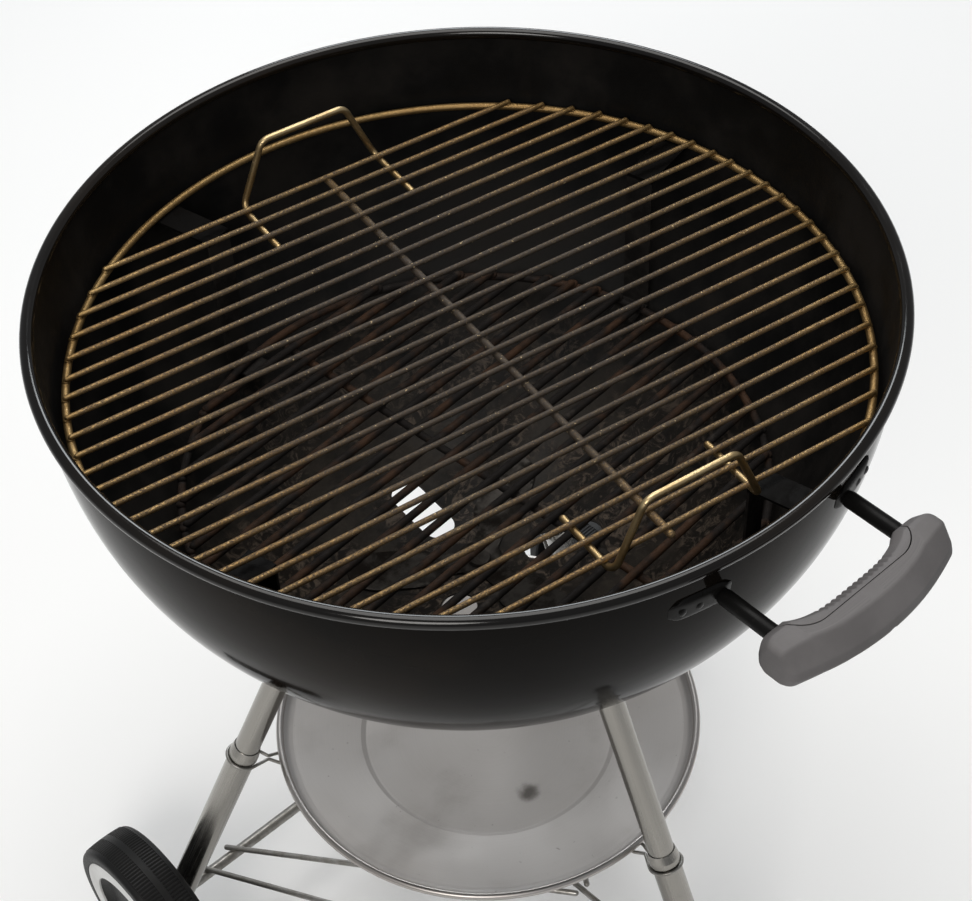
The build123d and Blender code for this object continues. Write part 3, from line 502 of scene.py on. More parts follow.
def enamel_inside():
    """Black enamel under soot: greasy brown film, with ash dust and crumbs low in the bowl."""
    look = Finish("enamel_inside")
    height = look.split()[2]
    film = look.noise(11, 8, 0.62)
    grit = look.noise(240, 6, 0.7)
    streak = look.noise(30, 5, 0.6, look.stretch((1, 1, 0.12)))
    low = look.band(height, 0.452, 0.56, 1.0, 0.0)
    dusty = look.times(low, look.band(look.noise(18, 7, 0.65), 0.36, 0.62))
    soot = look.mix(look.band(film, 0.42, 0.68), (0.0040, 0.0039, 0.0038), (0.0105, 0.0088, 0.0074))
    soot = look.mix(look.band(streak, 0.55, 0.8, 0, 0.5), soot, (0.015, 0.0125, 0.0105))
    dust = look.mix(grit, (0.012, 0.0098, 0.0078), (0.078, 0.064, 0.050))
    crumbs = look.band(look.noise(95, 6, 0.72, distort=1.4), 0.47, 0.64)
    strewn = look.times(low, look.band(look.noise(13, 4, 0.6), 0.42, 0.56))
    char = look.mix(crumbs, (0.010, 0.0078, 0.0062), (0.135, 0.103, 0.078))
    soot = look.mix(look.times(dusty, 0.75), soot, dust)
    look.set(
        Base_Color=look.mix(look.times(strewn, 0.85), soot, char),
        Roughness=look.band(film, 0.3, 0.7, 0.36, 0.7),
        Specular_IOR_Level=0.16,
    )
    relief = look.times(look.times(crumbs, strewn), 16.0)
    relief = look.plus(relief, look.times(film, 2.0))
    return look.bump(look.plus(grit, relief), 0.14)


def grate_wire():
    """Heat-tinted plated rod: brassy at the ring, dark in the middle, with baked crust and bare specks."""
    look = Finish("grate_wire")
    along = look.stretch((0.6, 1, 1))
    heat = look.noise(9, 5, 0.6)
    crust_noise = look.noise(1150, 6, 0.75, along)
    ring = look.band(look.radius(), 0.258, 0.268)
    centre = look.band(look.plus(look.radius(), look.times(heat, 0.16)), 0.17, 0.36, 1.0, 0.0)
    tint = look.mix(look.band(heat, 0.35, 0.65), (0.41, 0.275, 0.115), (0.29, 0.178, 0.066))
    crust = look.plus(look.band(crust_noise, 0.38, 0.62), look.times(centre, 0.18))
    crust = look.times(look.math("MINIMUM", crust, 1.0), look.band(ring, 0.0, 1.0, 1.0, 0.35))
    fleck = look.band(look.noise(520, 3, 0.5), 0.66, 0.74)
    colour = look.mix(crust, tint, (0.068, 0.042, 0.023))
    colour = look.mix(look.times(centre, 0.85), colour, (0.030, 0.0255, 0.0225))
    colour = look.mix(look.times(fleck, 0.6), colour, (0.72, 0.56, 0.32))
    look.set(
        Base_Color=colour,
        Metallic=look.band(crust, 0.0, 1.0, 0.9, 0.15),
        Roughness=look.band(crust, 0.0, 1.0, 0.38, 0.8),
    )
    return look.bump(crust_noise, 0.5, 0.0006)


def loop_wire():
    """Brighter heat-tinted rod of the lifting loops."""
    look = Finish("loop_wire")
    heat = look.noise(16, 5, 0.6)
    crust_noise = look.noise(260, 5, 0.7)
    crust = look.band(crust_noise, 0.58, 0.7)
    tint = look.mix(look.band(heat, 0.38, 0.64), (0.52, 0.40, 0.22), (0.38, 0.26, 0.12))
    look.set(
        Base_Color=look.mix(crust, tint, (0.10, 0.065, 0.04)),
        Metallic=look.band(crust, 0.0, 1.0, 0.95, 0.3),
        Roughness=look.band(crust, 0.0, 1.0, 0.36, 0.75),
    )
    return look.bump(crust_noise, 0.35, 0.0005)


def coal_wire():
    """Burnt steel rod: dark scale, rust and pale ash."""
    look = Finish("coal_wire")
    scale = look.noise(150, 7, 0.7)
    rust = look.band(look.noise(24, 6, 0.65), 0.45, 0.68)
    ash = look.band(look.noise(60, 6, 0.7), 0.56, 0.74, 0, 0.55)
    colour = look.mix(rust, (0.013, 0.011, 0.010), (0.052, 0.027, 0.015))
    colour = look.mix(ash, colour, (0.062, 0.053, 0.045))
    look.set(Base_Color=colour, Metallic=look.band(rust, 0, 1, 0.2, 0.05),
             Roughness=look.band(scale, 0.3, 0.7, 0.62, 0.92), Specular_IOR_Level=0.15)
    return look.bump(scale, 0.5, 0.0008)


def pan_aluminium():
    """Spun aluminium: fine rings, warm smudges and one dark mark."""
    look = Finish("pan_aluminium")
    radius = look.radius()
    ring_place = look.node("ShaderNodeCombineXYZ")
    look.feed(ring_place.inputs[0], radius)
    rings = look.noise(900, 3, 0.6, ring_place.outputs[0])
    smudge = look.noise(13, 6, 0.6)
    cloud = look.noise(5, 3, 0.5)
    speck = look.band(look.noise(170, 4, 0.6), 0.68, 0.76)
    metal = look.mix(look.band(cloud, 0.35, 0.68), (0.47, 0.445, 0.425), (0.42, 0.39, 0.365))
    metal = look.mix(look.band(smudge, 0.52, 0.78, 0, 0.5), metal, (0.35, 0.325, 0.30))
    metal = look.mix(look.times(speck, 0.5), metal, (0.09, 0.075, 0.06))
    mark = look.node("ShaderNodeVectorMath", operation="DISTANCE")
    look.feed(mark.inputs[0], look.place)
    mark.inputs[1].default_value = (*PAN_MARK, PAN_RIM_HEIGHT - PAN_FLOOR_DROP)
    ragged = look.plus(mark.outputs["Value"], look.times(look.noise(120, 4), 0.008))
    metal = look.mix(look.band(ragged, 0.006, 0.016, 0.8, 0.0), metal, (0.05, 0.042, 0.033))
    rim = look.band(radius, PAN_RIM_RADIUS - 0.012, PAN_RIM_RADIUS - 0.008)
    worn = look.plus(look.band(rings, 0.3, 0.7, 0.48, 0.58), look.band(smudge, 0.4, 0.8, 0.0, 0.12))
    look.set(
        Base_Color=metal,
        Metallic=look.band(rim, 0.0, 1.0, 0.6, 0.95),
        Roughness=look.math("SUBTRACT", worn, look.times(rim, 0.2)),
    )
    return look.bump(rings, 0.06, 0.0004)


def leg_tube():
    """Satin plated tube with long drawing lines and small scuffs."""
    look = Finish("leg_tube")
    lines = look.noise(420, 4, 0.6, look.stretch((1, 1, 0.02)))
    scuff = look.band(look.noise(55, 6, 0.7), 0.6, 0.75)
    metal = look.mix(lines, (0.24, 0.23, 0.21), (0.37, 0.355, 0.33))
    look.set(
        Base_Color=look.mix(look.times(scuff, 0.35), metal, (0.14, 0.13, 0.115)),
        Metallic=1.0,
        Roughness=look.band(lines, 0.25, 0.75, 0.18, 0.30),
    )
    return look.bump(lines, 0.05, 0.0003)


def plain_steel(place="local"):
    """Dull zinc-plated wire."""
    look = Finish("plain_steel", place)
    grain = look.noise(90, 6, 0.65)
    look.set(
        Base_Color=look.mix(look.band(grain, 0.35, 0.7), (0.36, 0.35, 0.33), (0.22, 0.21, 0.19)),
        Metallic=0.95,
        Roughness=look.band(grain, 0.3, 0.7, 0.28, 0.48),
    )
    return look.bump(look.noise(700, 3), 0.08, 0.0003)


def moulded(name, dark, pale, rough, grain=1500.0, place="local"):
    """Moulded plastic with a fine grain and slight soiling."""
    look = Finish(name, place)
    cloud = look.noise(22, 5, 0.6)
    fine = look.noise(grain, 3, 0.6)
    look.set(
        Base_Color=look.mix(look.band(cloud, 0.35, 0.7), dark, pale),
        Roughness=look.band(fine, 0.3, 0.7, rough - 0.08, rough + 0.08),
        Specular_IOR_Level=0.22,
    )
    return look.bump(fine, 0.18, 0.0003)


def black_bar():
    """Black enamelled steel with light wear."""
    look = Finish("black_bar")
    wear = look.band(look.noise(130, 6, 0.7), 0.62, 0.75)
    look.set(
        Base_Color=look.mix(look.times(wear, 0.5), (0.0050, 0.0048, 0.0046), (0.020, 0.018, 0.016)),
        Roughness=look.band(look.noise(60, 5), 0.3, 0.7, 0.26, 0.42),
        Specular_IOR_Level=0.09,
    )
    return look.bump(look.noise(110, 4), 0.08, 0.0005)


def sooty_steel(name, clean, dirty, metallic, place, ledge=None):
    """Bare steel under uneven soot, near-black above the height of a ledge."""
    look = Finish(name, place)
    soot = look.band(look.noise(38, 7, 0.68), 0.38, 0.62)
    colour = look.mix(soot, clean, dirty)
    # Near-black on and above the ledge's height
    if ledge is not None:
        blackened = look.band(look.split()[2], ledge - 0.001, ledge)
        colour = look.mix(blackened, colour, (0.0032, 0.0029, 0.0027))
    look.set(
        Base_Color=colour,
        Metallic=look.band(soot, 0, 1, metallic, metallic * 0.3),
        Roughness=look.band(soot, 0, 1, 0.4, 0.75),
        Specular_IOR_Level=0.05,
    )
    return look.bump(look.noise(220, 5, 0.7), 0.25, 0.0005)


ENAMEL = enamel_outside("enamel_outside", 0.028)
ENAMEL_RIM = enamel_outside("enamel_rim", 0.34)
ENAMEL_CAD = enamel_outside("enamel_socket", 0.04, "Object")
SOOT = enamel_inside()
GRATE = grate_wire()
LOOP = loop_wire()
COAL = coal_wire()
ALUMINIUM = pan_aluminium()
TUBE = leg_tube()
STEEL = plain_steel()
STEEL_CAD = plain_steel("Object")
BAR = black_bar()
GRIP = moulded("grip_plastic", (0.112, 0.106, 0.106), (0.136, 0.129, 0.129), 0.58)
TYRE = moulded("tyre_plastic", (0.0055, 0.0055, 0.0056), (0.011, 0.0108, 0.0105), 0.5, grain=900.0)
WHITE_WALL = moulded("white_wall", (0.74, 0.74, 0.725), (0.62, 0.615, 0.60), 0.42)
BLACKS = ((0.011, 0.011, 0.011), (0.022, 0.022, 0.021))
BLACK_PLASTIC = moulded("black_plastic", *BLACKS, 0.45)
BLACK_PLASTIC_CAD = moulded("black_plastic_cad", *BLACKS, 0.45, place="Object")
BRACKET = sooty_steel("bracket_steel", (0.026, 0.0235, 0.0215), (0.013, 0.0117, 0.0110), 0.0, "Object",
                      ledge=BRACKET_LEDGE)
DAMPER = sooty_steel("damper_steel", (0.055, 0.050, 0.045), (0.014, 0.0115, 0.0095), 0.5, "Object")
SCREW = sooty_steel("screw_steel", (0.09, 0.09, 0.09), (0.03, 0.03, 0.03), 0.8, "local")


# Bowl

BASE_SIN, BASE_COS = sin(BOWL_BASE_TURN), cos(BOWL_BASE_TURN)
SIDE_SIN, SIDE_COS = sin(BOWL_SIDE_TURN), cos(BOWL_SIDE_TURN)
ARC_SHARE = BASE_SIN * SIDE_SIN - (1 - BASE_COS) * (1 - SIDE_COS)
EXTRA_WIDTH = BOWL_RADIUS - BOWL_KNUCKLE
EXTRA_DEPTH = BOWL_DEPTH - BOWL_KNUCKLE
BASE_EXTRA = (EXTRA_WIDTH * SIDE_SIN - EXTRA_DEPTH * (1 - SIDE_COS)) / ARC_SHARE
SIDE_EXTRA = (EXTRA_DEPTH * BASE_SIN - EXTRA_WIDTH * (1 - BASE_COS)) / ARC_SHARE
BASE_ARC = BOWL_KNUCKLE + BASE_EXTRA
SIDE_ARC = BOWL_KNUCKLE + SIDE_EXTRA
BASE_CENTRE = (0, RIM_LINE - BOWL_DEPTH + BASE_ARC)
KNUCKLE_CENTRE = (BASE_EXTRA * BASE_SIN, RIM_LINE - SIDE_EXTRA * SIDE_SIN)
SIDE_CENTRE = (BOWL_RADIUS - SIDE_ARC, RIM_LINE)


def bowl_curve(inset):
    """Half profile of the bowl from its lowest point up to the rim line, as three tangent arcs."""
    base_end = BOWL_BASE_TURN - pi / 2
    base = arc_points(BASE_CENTRE, BASE_ARC - inset, -pi / 2, base_end, steps=14)
    knuckle = arc_points(KNUCKLE_CENTRE, BOWL_KNUCKLE - inset, base_end, -BOWL_SIDE_TURN, steps=44)
    side = arc_points(SIDE_CENTRE, SIDE_ARC - inset, -BOWL_SIDE_TURN, 0, steps=16)
    return base + knuckle[1:] + side[1:]


def bowl_radius_at(height):
    """Radius of the bowl's outside at a height near the rim or on the knuckle."""
    drop = RIM_LINE - height
    if drop < SIDE_ARC * SIDE_SIN:
        return SIDE_CENTRE[0] + sqrt(SIDE_ARC**2 - drop**2)
    return KNUCKLE_CENTRE[0] + sqrt(BOWL_KNUCKLE**2 - (KNUCKLE_CENTRE[1] - height) ** 2)


def slot_outline(inner, outer, half_width):
    """Plan of a slot with round ends along the local X axis."""
    far = arc_points((outer - half_width, 0), half_width, -pi / 2, pi / 2, steps=12)
    near = arc_points((inner + half_width, 0), half_width, pi / 2, 3 * pi / 2, steps=12)
    return far + near


def circle(radius, sides):
    """Plan of a round hole about the local axis."""
    return arc_points((0, 0), radius, 0, 2 * pi * (sides - 1) / sides, sides - 1)


def prism(outline, low, high):
    """Upright closed block over a plan."""
    rings = [[(x, y, z) for x, y in outline] for z in (low, high)]
    return Shape().rings(rings, caps=True)


def make_bowl():
    bead_centre = (RIM_RADIUS - RIM_BEAD / 2, RIM_LINE)
    bead_bottom = RIM_LINE - RIM_BEAD / 2
    outer = [point for point in bowl_curve(0) if point[1] < bead_bottom]
    inner = [point for point in bowl_curve(BOWL_WALL) if point[1] < bead_bottom]
    bead = arc_points(bead_centre, RIM_BEAD / 2, radians(-97), radians(242), steps=28)
    profile = [(max(r, 0), z) for r, z in outer + bead + inner[::-1]]
    bowl = piece("bowl_shell", Shape().lathe(profile, BOWL_SEGMENTS), [ENAMEL, SOOT, ENAMEL_RIM],
                 "kettle", ["bowl"], ON_AXIS)
    # Cutters run from below the bowl to half its depth
    low, high = RIM_LINE - 1.1 * BOWL_DEPTH, RIM_LINE - BOWL_DEPTH / 2
    for azimuth in VENT_AZIMUTHS:
        slot = prism(slot_outline(VENT_INNER, VENT_OUTER, VENT_HALF_WIDTH), low, high)
        trim(bowl, slot.placed(ON_AXIS @ Matrix.Rotation(radians(azimuth), 4, "Z")), "DIFFERENCE")
    trim(bowl, prism(circle(STEM_HOLE, sides=24), low, high).placed(ON_AXIS), "DIFFERENCE")
    weld(bowl)
    outside, inside, rim = range(3)
    for polygon in bowl.data.polygons:
        centre = polygon.center
        out = Vector((centre.x, centre.y - AXIS_Y, centre.z - RIM_LINE))
        if centre.z > bead_bottom:
            polygon.material_index = rim
        else:
            polygon.material_index = inside if polygon.normal.dot(out) < 0 else outside
    smooth(bowl, 40)


# Grates

def wire_grate(radius, ring_height, ring_wire, bar_height, bar_wire, pairs, pitch, reach, cross):
    """Welded grate about the local axis: ring, bars along X, a cross rod and the weld nuggets."""
    shape = Shape()
    ring_steps, bar_steps, ring_sides = 240, 12, 14
    ring = [(radius * cos(turn), radius * sin(turn), ring_height) for turn in turns(ring_steps)]
    shape.tube(ring, ring_wire / 2, ring_sides, closed=True)
    first = pairs * pitch
    nugget = (bar_wire * NUGGET_WIDTH, bar_wire * NUGGET_WIDTH, bar_wire * NUGGET_HEIGHT)
    lift = (ring_height + bar_height) / 2
    steps = [step / bar_steps for step in range(-bar_steps, bar_steps + 1)]
    for index in range(2 * pairs + 1):
        offset = index * pitch - first
        half = sqrt(reach**2 - offset**2) - bar_wire / 2
        slip = RANDOM.uniform(-BAR_SLIP, BAR_SLIP)
        lean = RANDOM.uniform(-BAR_LEAN, BAR_LEAN)
        sag = [RANDOM.uniform(-BAR_SAG, BAR_SAG) for _ in steps]
        line = [(half * share + slip * BAR_CREEP, offset + slip + lean * share, bar_height + drop)
                for share, drop in zip(steps, sag)]
        shape.tube(line, bar_wire / 2)
        weld_x = sqrt(radius**2 - offset**2)
        for x in (-weld_x, cross, weld_x):
            shape.ball((x, offset + slip + lean * x / half, lift), nugget)
    rod = [(cross, share * (first + bar_wire), ring_height) for share in (-1, 0, 1)]
    return shape.tube(rod, ring_wire / 2, ring_sides)


def make_cooking_grate():
    place = ON_AXIS @ Matrix.Rotation(GRATE_TURN, 4, "Z")
    ring_height = GRATE_LOW.z + GRATE_RING_WIRE / 2
    bar_height = GRATE_HIGH.z - GRATE_BAR_WIRE / 2
    radius = (GRATE_HIGH.x - GRATE_LOW.x - GRATE_RING_WIRE) / 2
    shape = wire_grate(radius, ring_height, GRATE_RING_WIRE, bar_height, GRATE_BAR_WIRE,
                       GRATE_BAR_PAIRS, GRATE_BAR_PITCH, radius + GRATE_BAR_PROUD, GRATE_CROSS_SHIFT)
    piece("cooking_grate_wires", shape, [GRATE], "cooking_grate", ["cooking_grate"], place,
          sharp=60)
    foot_height = bar_height - GRATE_BAR_WIRE / 2 - LOOP_WIRE / 2
    top_height = LOOP_TOP - LOOP_WIRE / 2
    foot_end = radius - LOOP_INSET
    foot_start = foot_end - LOOP_FOOT_LENGTH
    side = [(LOOP_FOOT_HALF, foot_start, foot_height), (LOOP_FOOT_HALF, foot_end, foot_height),
            (LOOP_TOP_HALF, foot_end, top_height)]
    path = bent(mirrored(side), LOOP_BEND, steps=8)
    for name, half_turn, shift in (("rear", 0, 0), ("front", pi, FRONT_LOOP_SHIFT)):
        turned = place @ Matrix.Translation((shift, 0, 0)) @ Matrix.Rotation(half_turn, 4, "Z")
        piece("lifting_loop_" + name, Shape().tube(path, LOOP_WIRE / 2, sides=16), [LOOP],
              "cooking_grate", ["grate_loop_" + name], turned, sharp=60)


def make_charcoal_grate():
    place = ON_AXIS @ Matrix.Rotation(COAL_TURN, 4, "Z")
    radius = (COAL_HIGH.x - COAL_LOW.x - COAL_WIRE) / 2
    shape = wire_grate(radius, COAL_LOW.z + COAL_WIRE / 2, COAL_WIRE, COAL_HIGH.z - COAL_WIRE / 2, COAL_WIRE,
                       COAL_BAR_PAIRS, COAL_BAR_PITCH, radius, 0)
    piece("charcoal_grate_wires", shape, [COAL], "charcoal_grate", ["charcoal_grate"], place,
          sharp=60)


# Legs

def leg_meets_bowl():
    """Distance up a leg's axis from the floor to the bowl's outside."""
    low, high = COLLAR_ALONG, RIM_LINE / cos(LEG_TILT)
    for _ in range(40):
        middle = (low + high) / 2
        height = middle * cos(LEG_TILT)
        out = LEG_FOOT_RADIUS - middle * sin(LEG_TILT)
        if height > RIM_LINE - BOWL_DEPTH and bowl_radius_at(height) > out:
            high = middle
        else:
            low = middle
    return low


def clip_height():
    """Distance up a leg's axis from the floor to the wire that hangs the pan."""
    bead_in = LEG_FOOT_RADIUS - PAN_BEAD_RADIUS
    bead_up = bead_in * sin(LEG_TILT) + PAN_RIM_HEIGHT * cos(LEG_TILT)
    return bead_up - PAN_BEAD / 2 - CLIP_WIRE / 2 - SEAT_GAP


def make_legs():
    start, top = COLLAR_ALONG - LEG_OVERLAP, leg_meets_bowl() - LEG_TOP_GAP
    thin = UPPER_LEG_RADIUS - LEG_WALL
    upper = [(thin, start), (UPPER_LEG_RADIUS, start), (UPPER_LEG_RADIUS, top), (thin, top)]
    bore = UPPER_LEG_RADIUS + FIT_GAP
    rise, taper, bend, lip, lip_depth = 0.002, 0.0075, 0.003, 0.0003, 0.0004
    collar_top = COLLAR_ALONG + COLLAR_LENGTH / 2
    collar_low = clip_height()
    swollen = (COLLAR_RADIUS + LOWER_LEG_RADIUS) / 2
    for name, azimuth in LEG_AZIMUTHS.items():
        if name == "front":
            low = (FOOT_SOLE + LOWER_LEG_RADIUS * sin(LEG_TILT)) / cos(LEG_TILT)
        else:
            low = AXLE_HEIGHT / cos(LEG_TILT) - LEG_TAIL
        lower = bent([(LOWER_LEG_RADIUS, low), (LOWER_LEG_RADIUS, collar_low), (swollen, collar_low + rise),
                      (swollen, collar_top - taper), (bore + 2 * lip, collar_top - lip)], bend)
        lower += [(bore + lip, collar_top), (bore, collar_top - lip_depth), (bore, low)]
        for part, profile in (("upper", upper), ("lower", lower)):
            piece(f"{part}_tube_{name}", Shape().lathe(profile, 64, closed=True), [TUBE], "kettle",
                  [f"{name}_leg_{part}"], leg_frame(azimuth))


def make_foot_cap():
    place = leg_frame(LEG_AZIMUTHS["front"])
    outer, bore, top = LOWER_LEG_RADIUS + FOOT_CAP_WALL, LOWER_LEG_RADIUS + FIT_GAP, FOOT_CAP_LENGTH
    rounding, sunk, floor = 0.0014, 0.0006, 0.004
    groove = [(outer, top * 0.62), (outer - sunk, top * 0.64), (outer - sunk, top * 0.70), (outer, top * 0.72)]
    edge = arc_points((outer - rounding, top - rounding), rounding, 0, pi / 2, steps=5)
    profile = [(0, -outer), (outer, -outer)] + groove + edge + [(bore, top), (bore, floor), (0, floor)]
    cap = piece("foot_boot", Shape().lathe(profile, 64), [BLACK_PLASTIC], "kettle", ["foot_cap"],
                place)
    size = 4 * FOOT_CAP_LENGTH
    plan = [(size, size), (-size, size), (-size, -size), (size, -size)]
    trim(cap, prism(plan, -size, 0).placed(Matrix.Translation(place.translation)), "DIFFERENCE")
    smooth(cap, 30)


def make_leg_plugs():
    head, rounding, depth = 0.0025, 0.001, 0.0055
    end = AXLE_HEIGHT / cos(LEG_TILT) - LEG_TAIL - FIT_GAP
    outer, stem = LOWER_LEG_RADIUS, UPPER_LEG_RADIUS
    rim = arc_points((outer - rounding, end - head + rounding), rounding, -pi / 2, 0, steps=4)
    profile = [(0, end - head)] + rim + [(outer, end), (stem, end), (stem, end + depth), (0, end + depth)]
    shape = Shape()
    for name in ("right", "left"):
        shape.join(Shape().lathe(profile, 48).placed(leg_frame(LEG_AZIMUTHS[name])))
    piece("leg_end_plugs", shape, [BLACK_PLASTIC], "kettle", ["leg_plugs"])


# Axle, rack and wheels

def make_axle():
    low, high, edge = AXLE_LOW.x, AXLE_HIGH.x, 0.0008
    profile = [(0, low), (AXLE_RADIUS - edge, low), (AXLE_RADIUS, low + edge),
               (AXLE_RADIUS, high - edge), (AXLE_RADIUS - edge, high), (0, high)]
    place = Matrix.Translation((0, AXLE_Y, AXLE_HEIGHT)) @ Matrix.Rotation(pi / 2, 4, "Y")
    piece("axle_rod", Shape().lathe(profile, 40), [STEEL], "kettle", ["axle"], place)


def make_rack():
    """Rack wires, each laid along the line through its CAD solid."""
    end_zone = 0.012
    for node in RACK_NODES:
        points = [vertex.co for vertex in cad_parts[node].data.vertices]
        back = max(point.y for point in points)
        front = min(point.y for point in points)
        rear_end = [point for point in points if point.y > back - end_zone]
        front_end = [point for point in points if point.y < front + end_zone]
        start = sum(rear_end, Vector()) / len(rear_end)
        end = sum(front_end, Vector()) / len(front_end)
        inset = (end - start).normalized() * RACK_WIRE / 2
        line = [start + inset, (start + end) / 2, end - inset]
        wire = Shape().tube(line, RACK_WIRE / 2, sides=16)
        piece(node + "_wire", wire, [STEEL], "kettle", [node])


def wheel_frame(side):
    """Frame on a wheel's axis: local z points outwards from its inner face."""
    turn = Matrix.Rotation(side * pi / 2, 4, "Y")
    return Matrix.Translation((side * WHEEL_INNER, AXLE_Y, AXLE_HEIGHT)) @ turn


def tread_rows():
    """Rows across the tread from the outer to the inner face: place, radius and whether it is ribbed."""
    margin, rib_end = 0.0050, 0.0003
    rows = []
    for low, high in ((margin, 0.0185), (0.0245, WHEEL_WIDTH - margin)):
        for place, ribbed in ((low, False), (low + rib_end, True), ((low + high) / 2, True),
                              (high - rib_end, True), (high, False)):
            share = (2 * place / WHEEL_WIDTH - 1) ** 2
            rows.append((place, WHEEL_RADIUS - TREAD_CROWN + TREAD_CROWN * (1 - share), ribbed))
    return rows[::-1]


def make_wheel(name, side):
    place = wheel_frame(side)
    body = f"wheel_{name}"
    rounding, drop = 0.004, 0.0042
    middle = WHEEL_RADIUS - TREAD_CROWN - drop
    shoulder = arc_points((WHEEL_WIDTH - rounding, middle), rounding, 0, pi / 2, steps=5)
    inner_shoulder = arc_points((rounding, middle), rounding, pi / 2, pi, steps=5)
    profile = [(z, r, False) for z, r in shoulder] + tread_rows()
    profile += [(z, r, False) for z, r in inner_shoulder + WHEEL_SECTION]
    rings = []
    for step, angle in enumerate(turns(4 * TREAD_RIBS)):
        ring = []
        for z, radius, ribbed in profile:
            sunk = TREAD_RIB_DEPTH if ribbed and step % 4 in (2, 3) else 0
            ring.append(((radius - sunk) * cos(angle), (radius - sunk) * sin(angle), z))
        rings.append(ring)
    piece(f"wheel_body_{name}", Shape().rings(rings, closed_line=True), [TYRE], body, [body],
          place, sharp=32)
    band = [(radius, WHEEL_WIDTH - depth) for radius, depth in WALL_BAND]
    piece(f"wall_band_{name}", Shape().lathe(band, 160, closed=True), [WHITE_WALL], body,
          [f"wall_ring_{name}"], place)
    hub, crown, depth, wall = 0.022, 0.007, 0.008, 0.0024
    seat = WHEEL_WIDTH - depth + FIT_GAP
    ball = (hub**2 + crown**2) / (2 * crown)
    half = atan2(hub, ball - crown)
    dome = arc_points((0, seat + crown - ball), ball, pi / 2 - half, pi / 2, steps=12)
    profile = [(max(r, 0), z) for r, z in dome]
    profile += [(0, seat + crown - wall), (hub - wall, seat), (hub, seat)]
    piece(f"hub_dome_{name}", Shape().lathe(profile, 64), [BLACK_PLASTIC], body, [f"hub_cap_{name}"],
          place)


# Ash pan and clips

def make_ash_pan():
    floor = PAN_RIM_HEIGHT - PAN_FLOOR_DROP
    half, rise, bend, bend_steps = 0.002, 0.0022, 0.0022, 6
    land = (PAN_RIM_RADIUS - 0.0136, PAN_RIM_HEIGHT - 0.005)
    lip = (PAN_BEAD_RADIUS - 0.0045, PAN_RIM_HEIGHT - 0.0042)
    corners = [(0, floor), (PAN_STEP_RADIUS - half, floor), (PAN_STEP_RADIUS + half, floor + rise),
               land, lip, (PAN_BEAD_RADIUS, PAN_RIM_HEIGHT)]
    # The last bend and the end of the line give way to the bead
    top_side = bent(corners, bend, bend_steps)[:-bend_steps - 2]
    under_side = [(radius, height - PAN_WALL) for radius, height in reversed(top_side)]
    bead = arc_points((PAN_BEAD_RADIUS, PAN_RIM_HEIGHT), PAN_BEAD / 2, radians(195), radians(-110), steps=24)
    piece("ash_pan_dish", Shape().lathe(top_side + bead + under_side, 200), [ALUMINIUM], "ash_pan", ["ash_pan"],
          ON_AXIS, sharp=50)


def touch_point(point, centre, radius):
    """Where a line from a point on the left touches a circle on the X axis, on its far side from X."""
    out = hypot(centre - point[0], point[1])
    along = sqrt(out**2 - radius**2)
    turn = atan2(-point[1], centre - point[0]) + atan2(radius, along)
    return (point[0] + along * cos(turn), point[1] + along * sin(turn))


def make_pan_clips():
    """Spring wires round the legs, pinched and then looped under the pan's bead."""
    wrap = LOWER_LEG_RADIUS + CLIP_WIRE / 2 + CLIP_GAP
    bead_in = LEG_FOOT_RADIUS - PAN_BEAD_RADIUS
    loop_centre = bead_in * cos(LEG_TILT) - PAN_RIM_HEIGHT * sin(LEG_TILT)
    pinch = (CLIP_PINCH_REACH, CLIP_WIRE / 2 + CLIP_GAP)
    loop_side = touch_point(pinch, loop_centre, CLIP_LOOP_RADIUS)
    wrap_side = touch_point((-pinch[0], pinch[1]), 0, wrap)
    wrap_angle = atan2(wrap_side[1], -wrap_side[0])
    loop_angle = atan2(loop_side[1], loop_side[0] - loop_centre)
    strand = bent([(-wrap_side[0], wrap_side[1]), pinch, loop_side], bend=0.003)
    tip = arc_points((loop_centre, 0), CLIP_LOOP_RADIUS, loop_angle, -loop_angle, steps=16)
    back = [(x, -y) for x, y in reversed(strand)]
    wrapped = arc_points((0, 0), wrap, 2 * pi - wrap_angle, wrap_angle, steps=36)
    line = [(x, y, clip_height()) for x, y in strand[:-1] + tip + back[1:-1] + wrapped[:-1]]
    shape = Shape()
    for azimuth in LEG_AZIMUTHS.values():
        shape.join(Shape().tube(line, CLIP_WIRE / 2, closed=True).placed(leg_frame(azimuth)))
    piece("pan_hanger_clips", shape, [STEEL], "kettle", ["pan_clips"], sharp=60)


# Handle

def foot_plate(side):
    """Flattened foot of the handle bar, laid on the bowl."""
    half_width, half_height, thick, edge, shift = 0.021, 0.010, 0.0026, 0.0002, 0.012
    row_count, column_count = 14, 24
    middle = side * (HANDLE_HALF_WIDTH + shift)
    rows = []
    for row in range(row_count + 1):
        v = -1 + 2 * row / row_count
        top, under = [], []
        for column in range(column_count + 1):
            u = -1 + 2 * column / column_count
            x = middle + half_width * u * (1 - abs(v) ** 6 * 0.22)
            z = half_height * v * (1 - abs(u) ** 6 * 0.3)
            lift = thick * (1 - max(abs(u), abs(v)) ** 5) + edge
            radius = bowl_radius_at(HANDLE_HEIGHT + z)
            top.append((x, sqrt((radius + lift) ** 2 - x**2), z))
            under.append((x, sqrt((radius + FIT_GAP) ** 2 - x**2), z))
        rows.append(top + under[::-1])
    return Shape().rings(rows, caps=True)


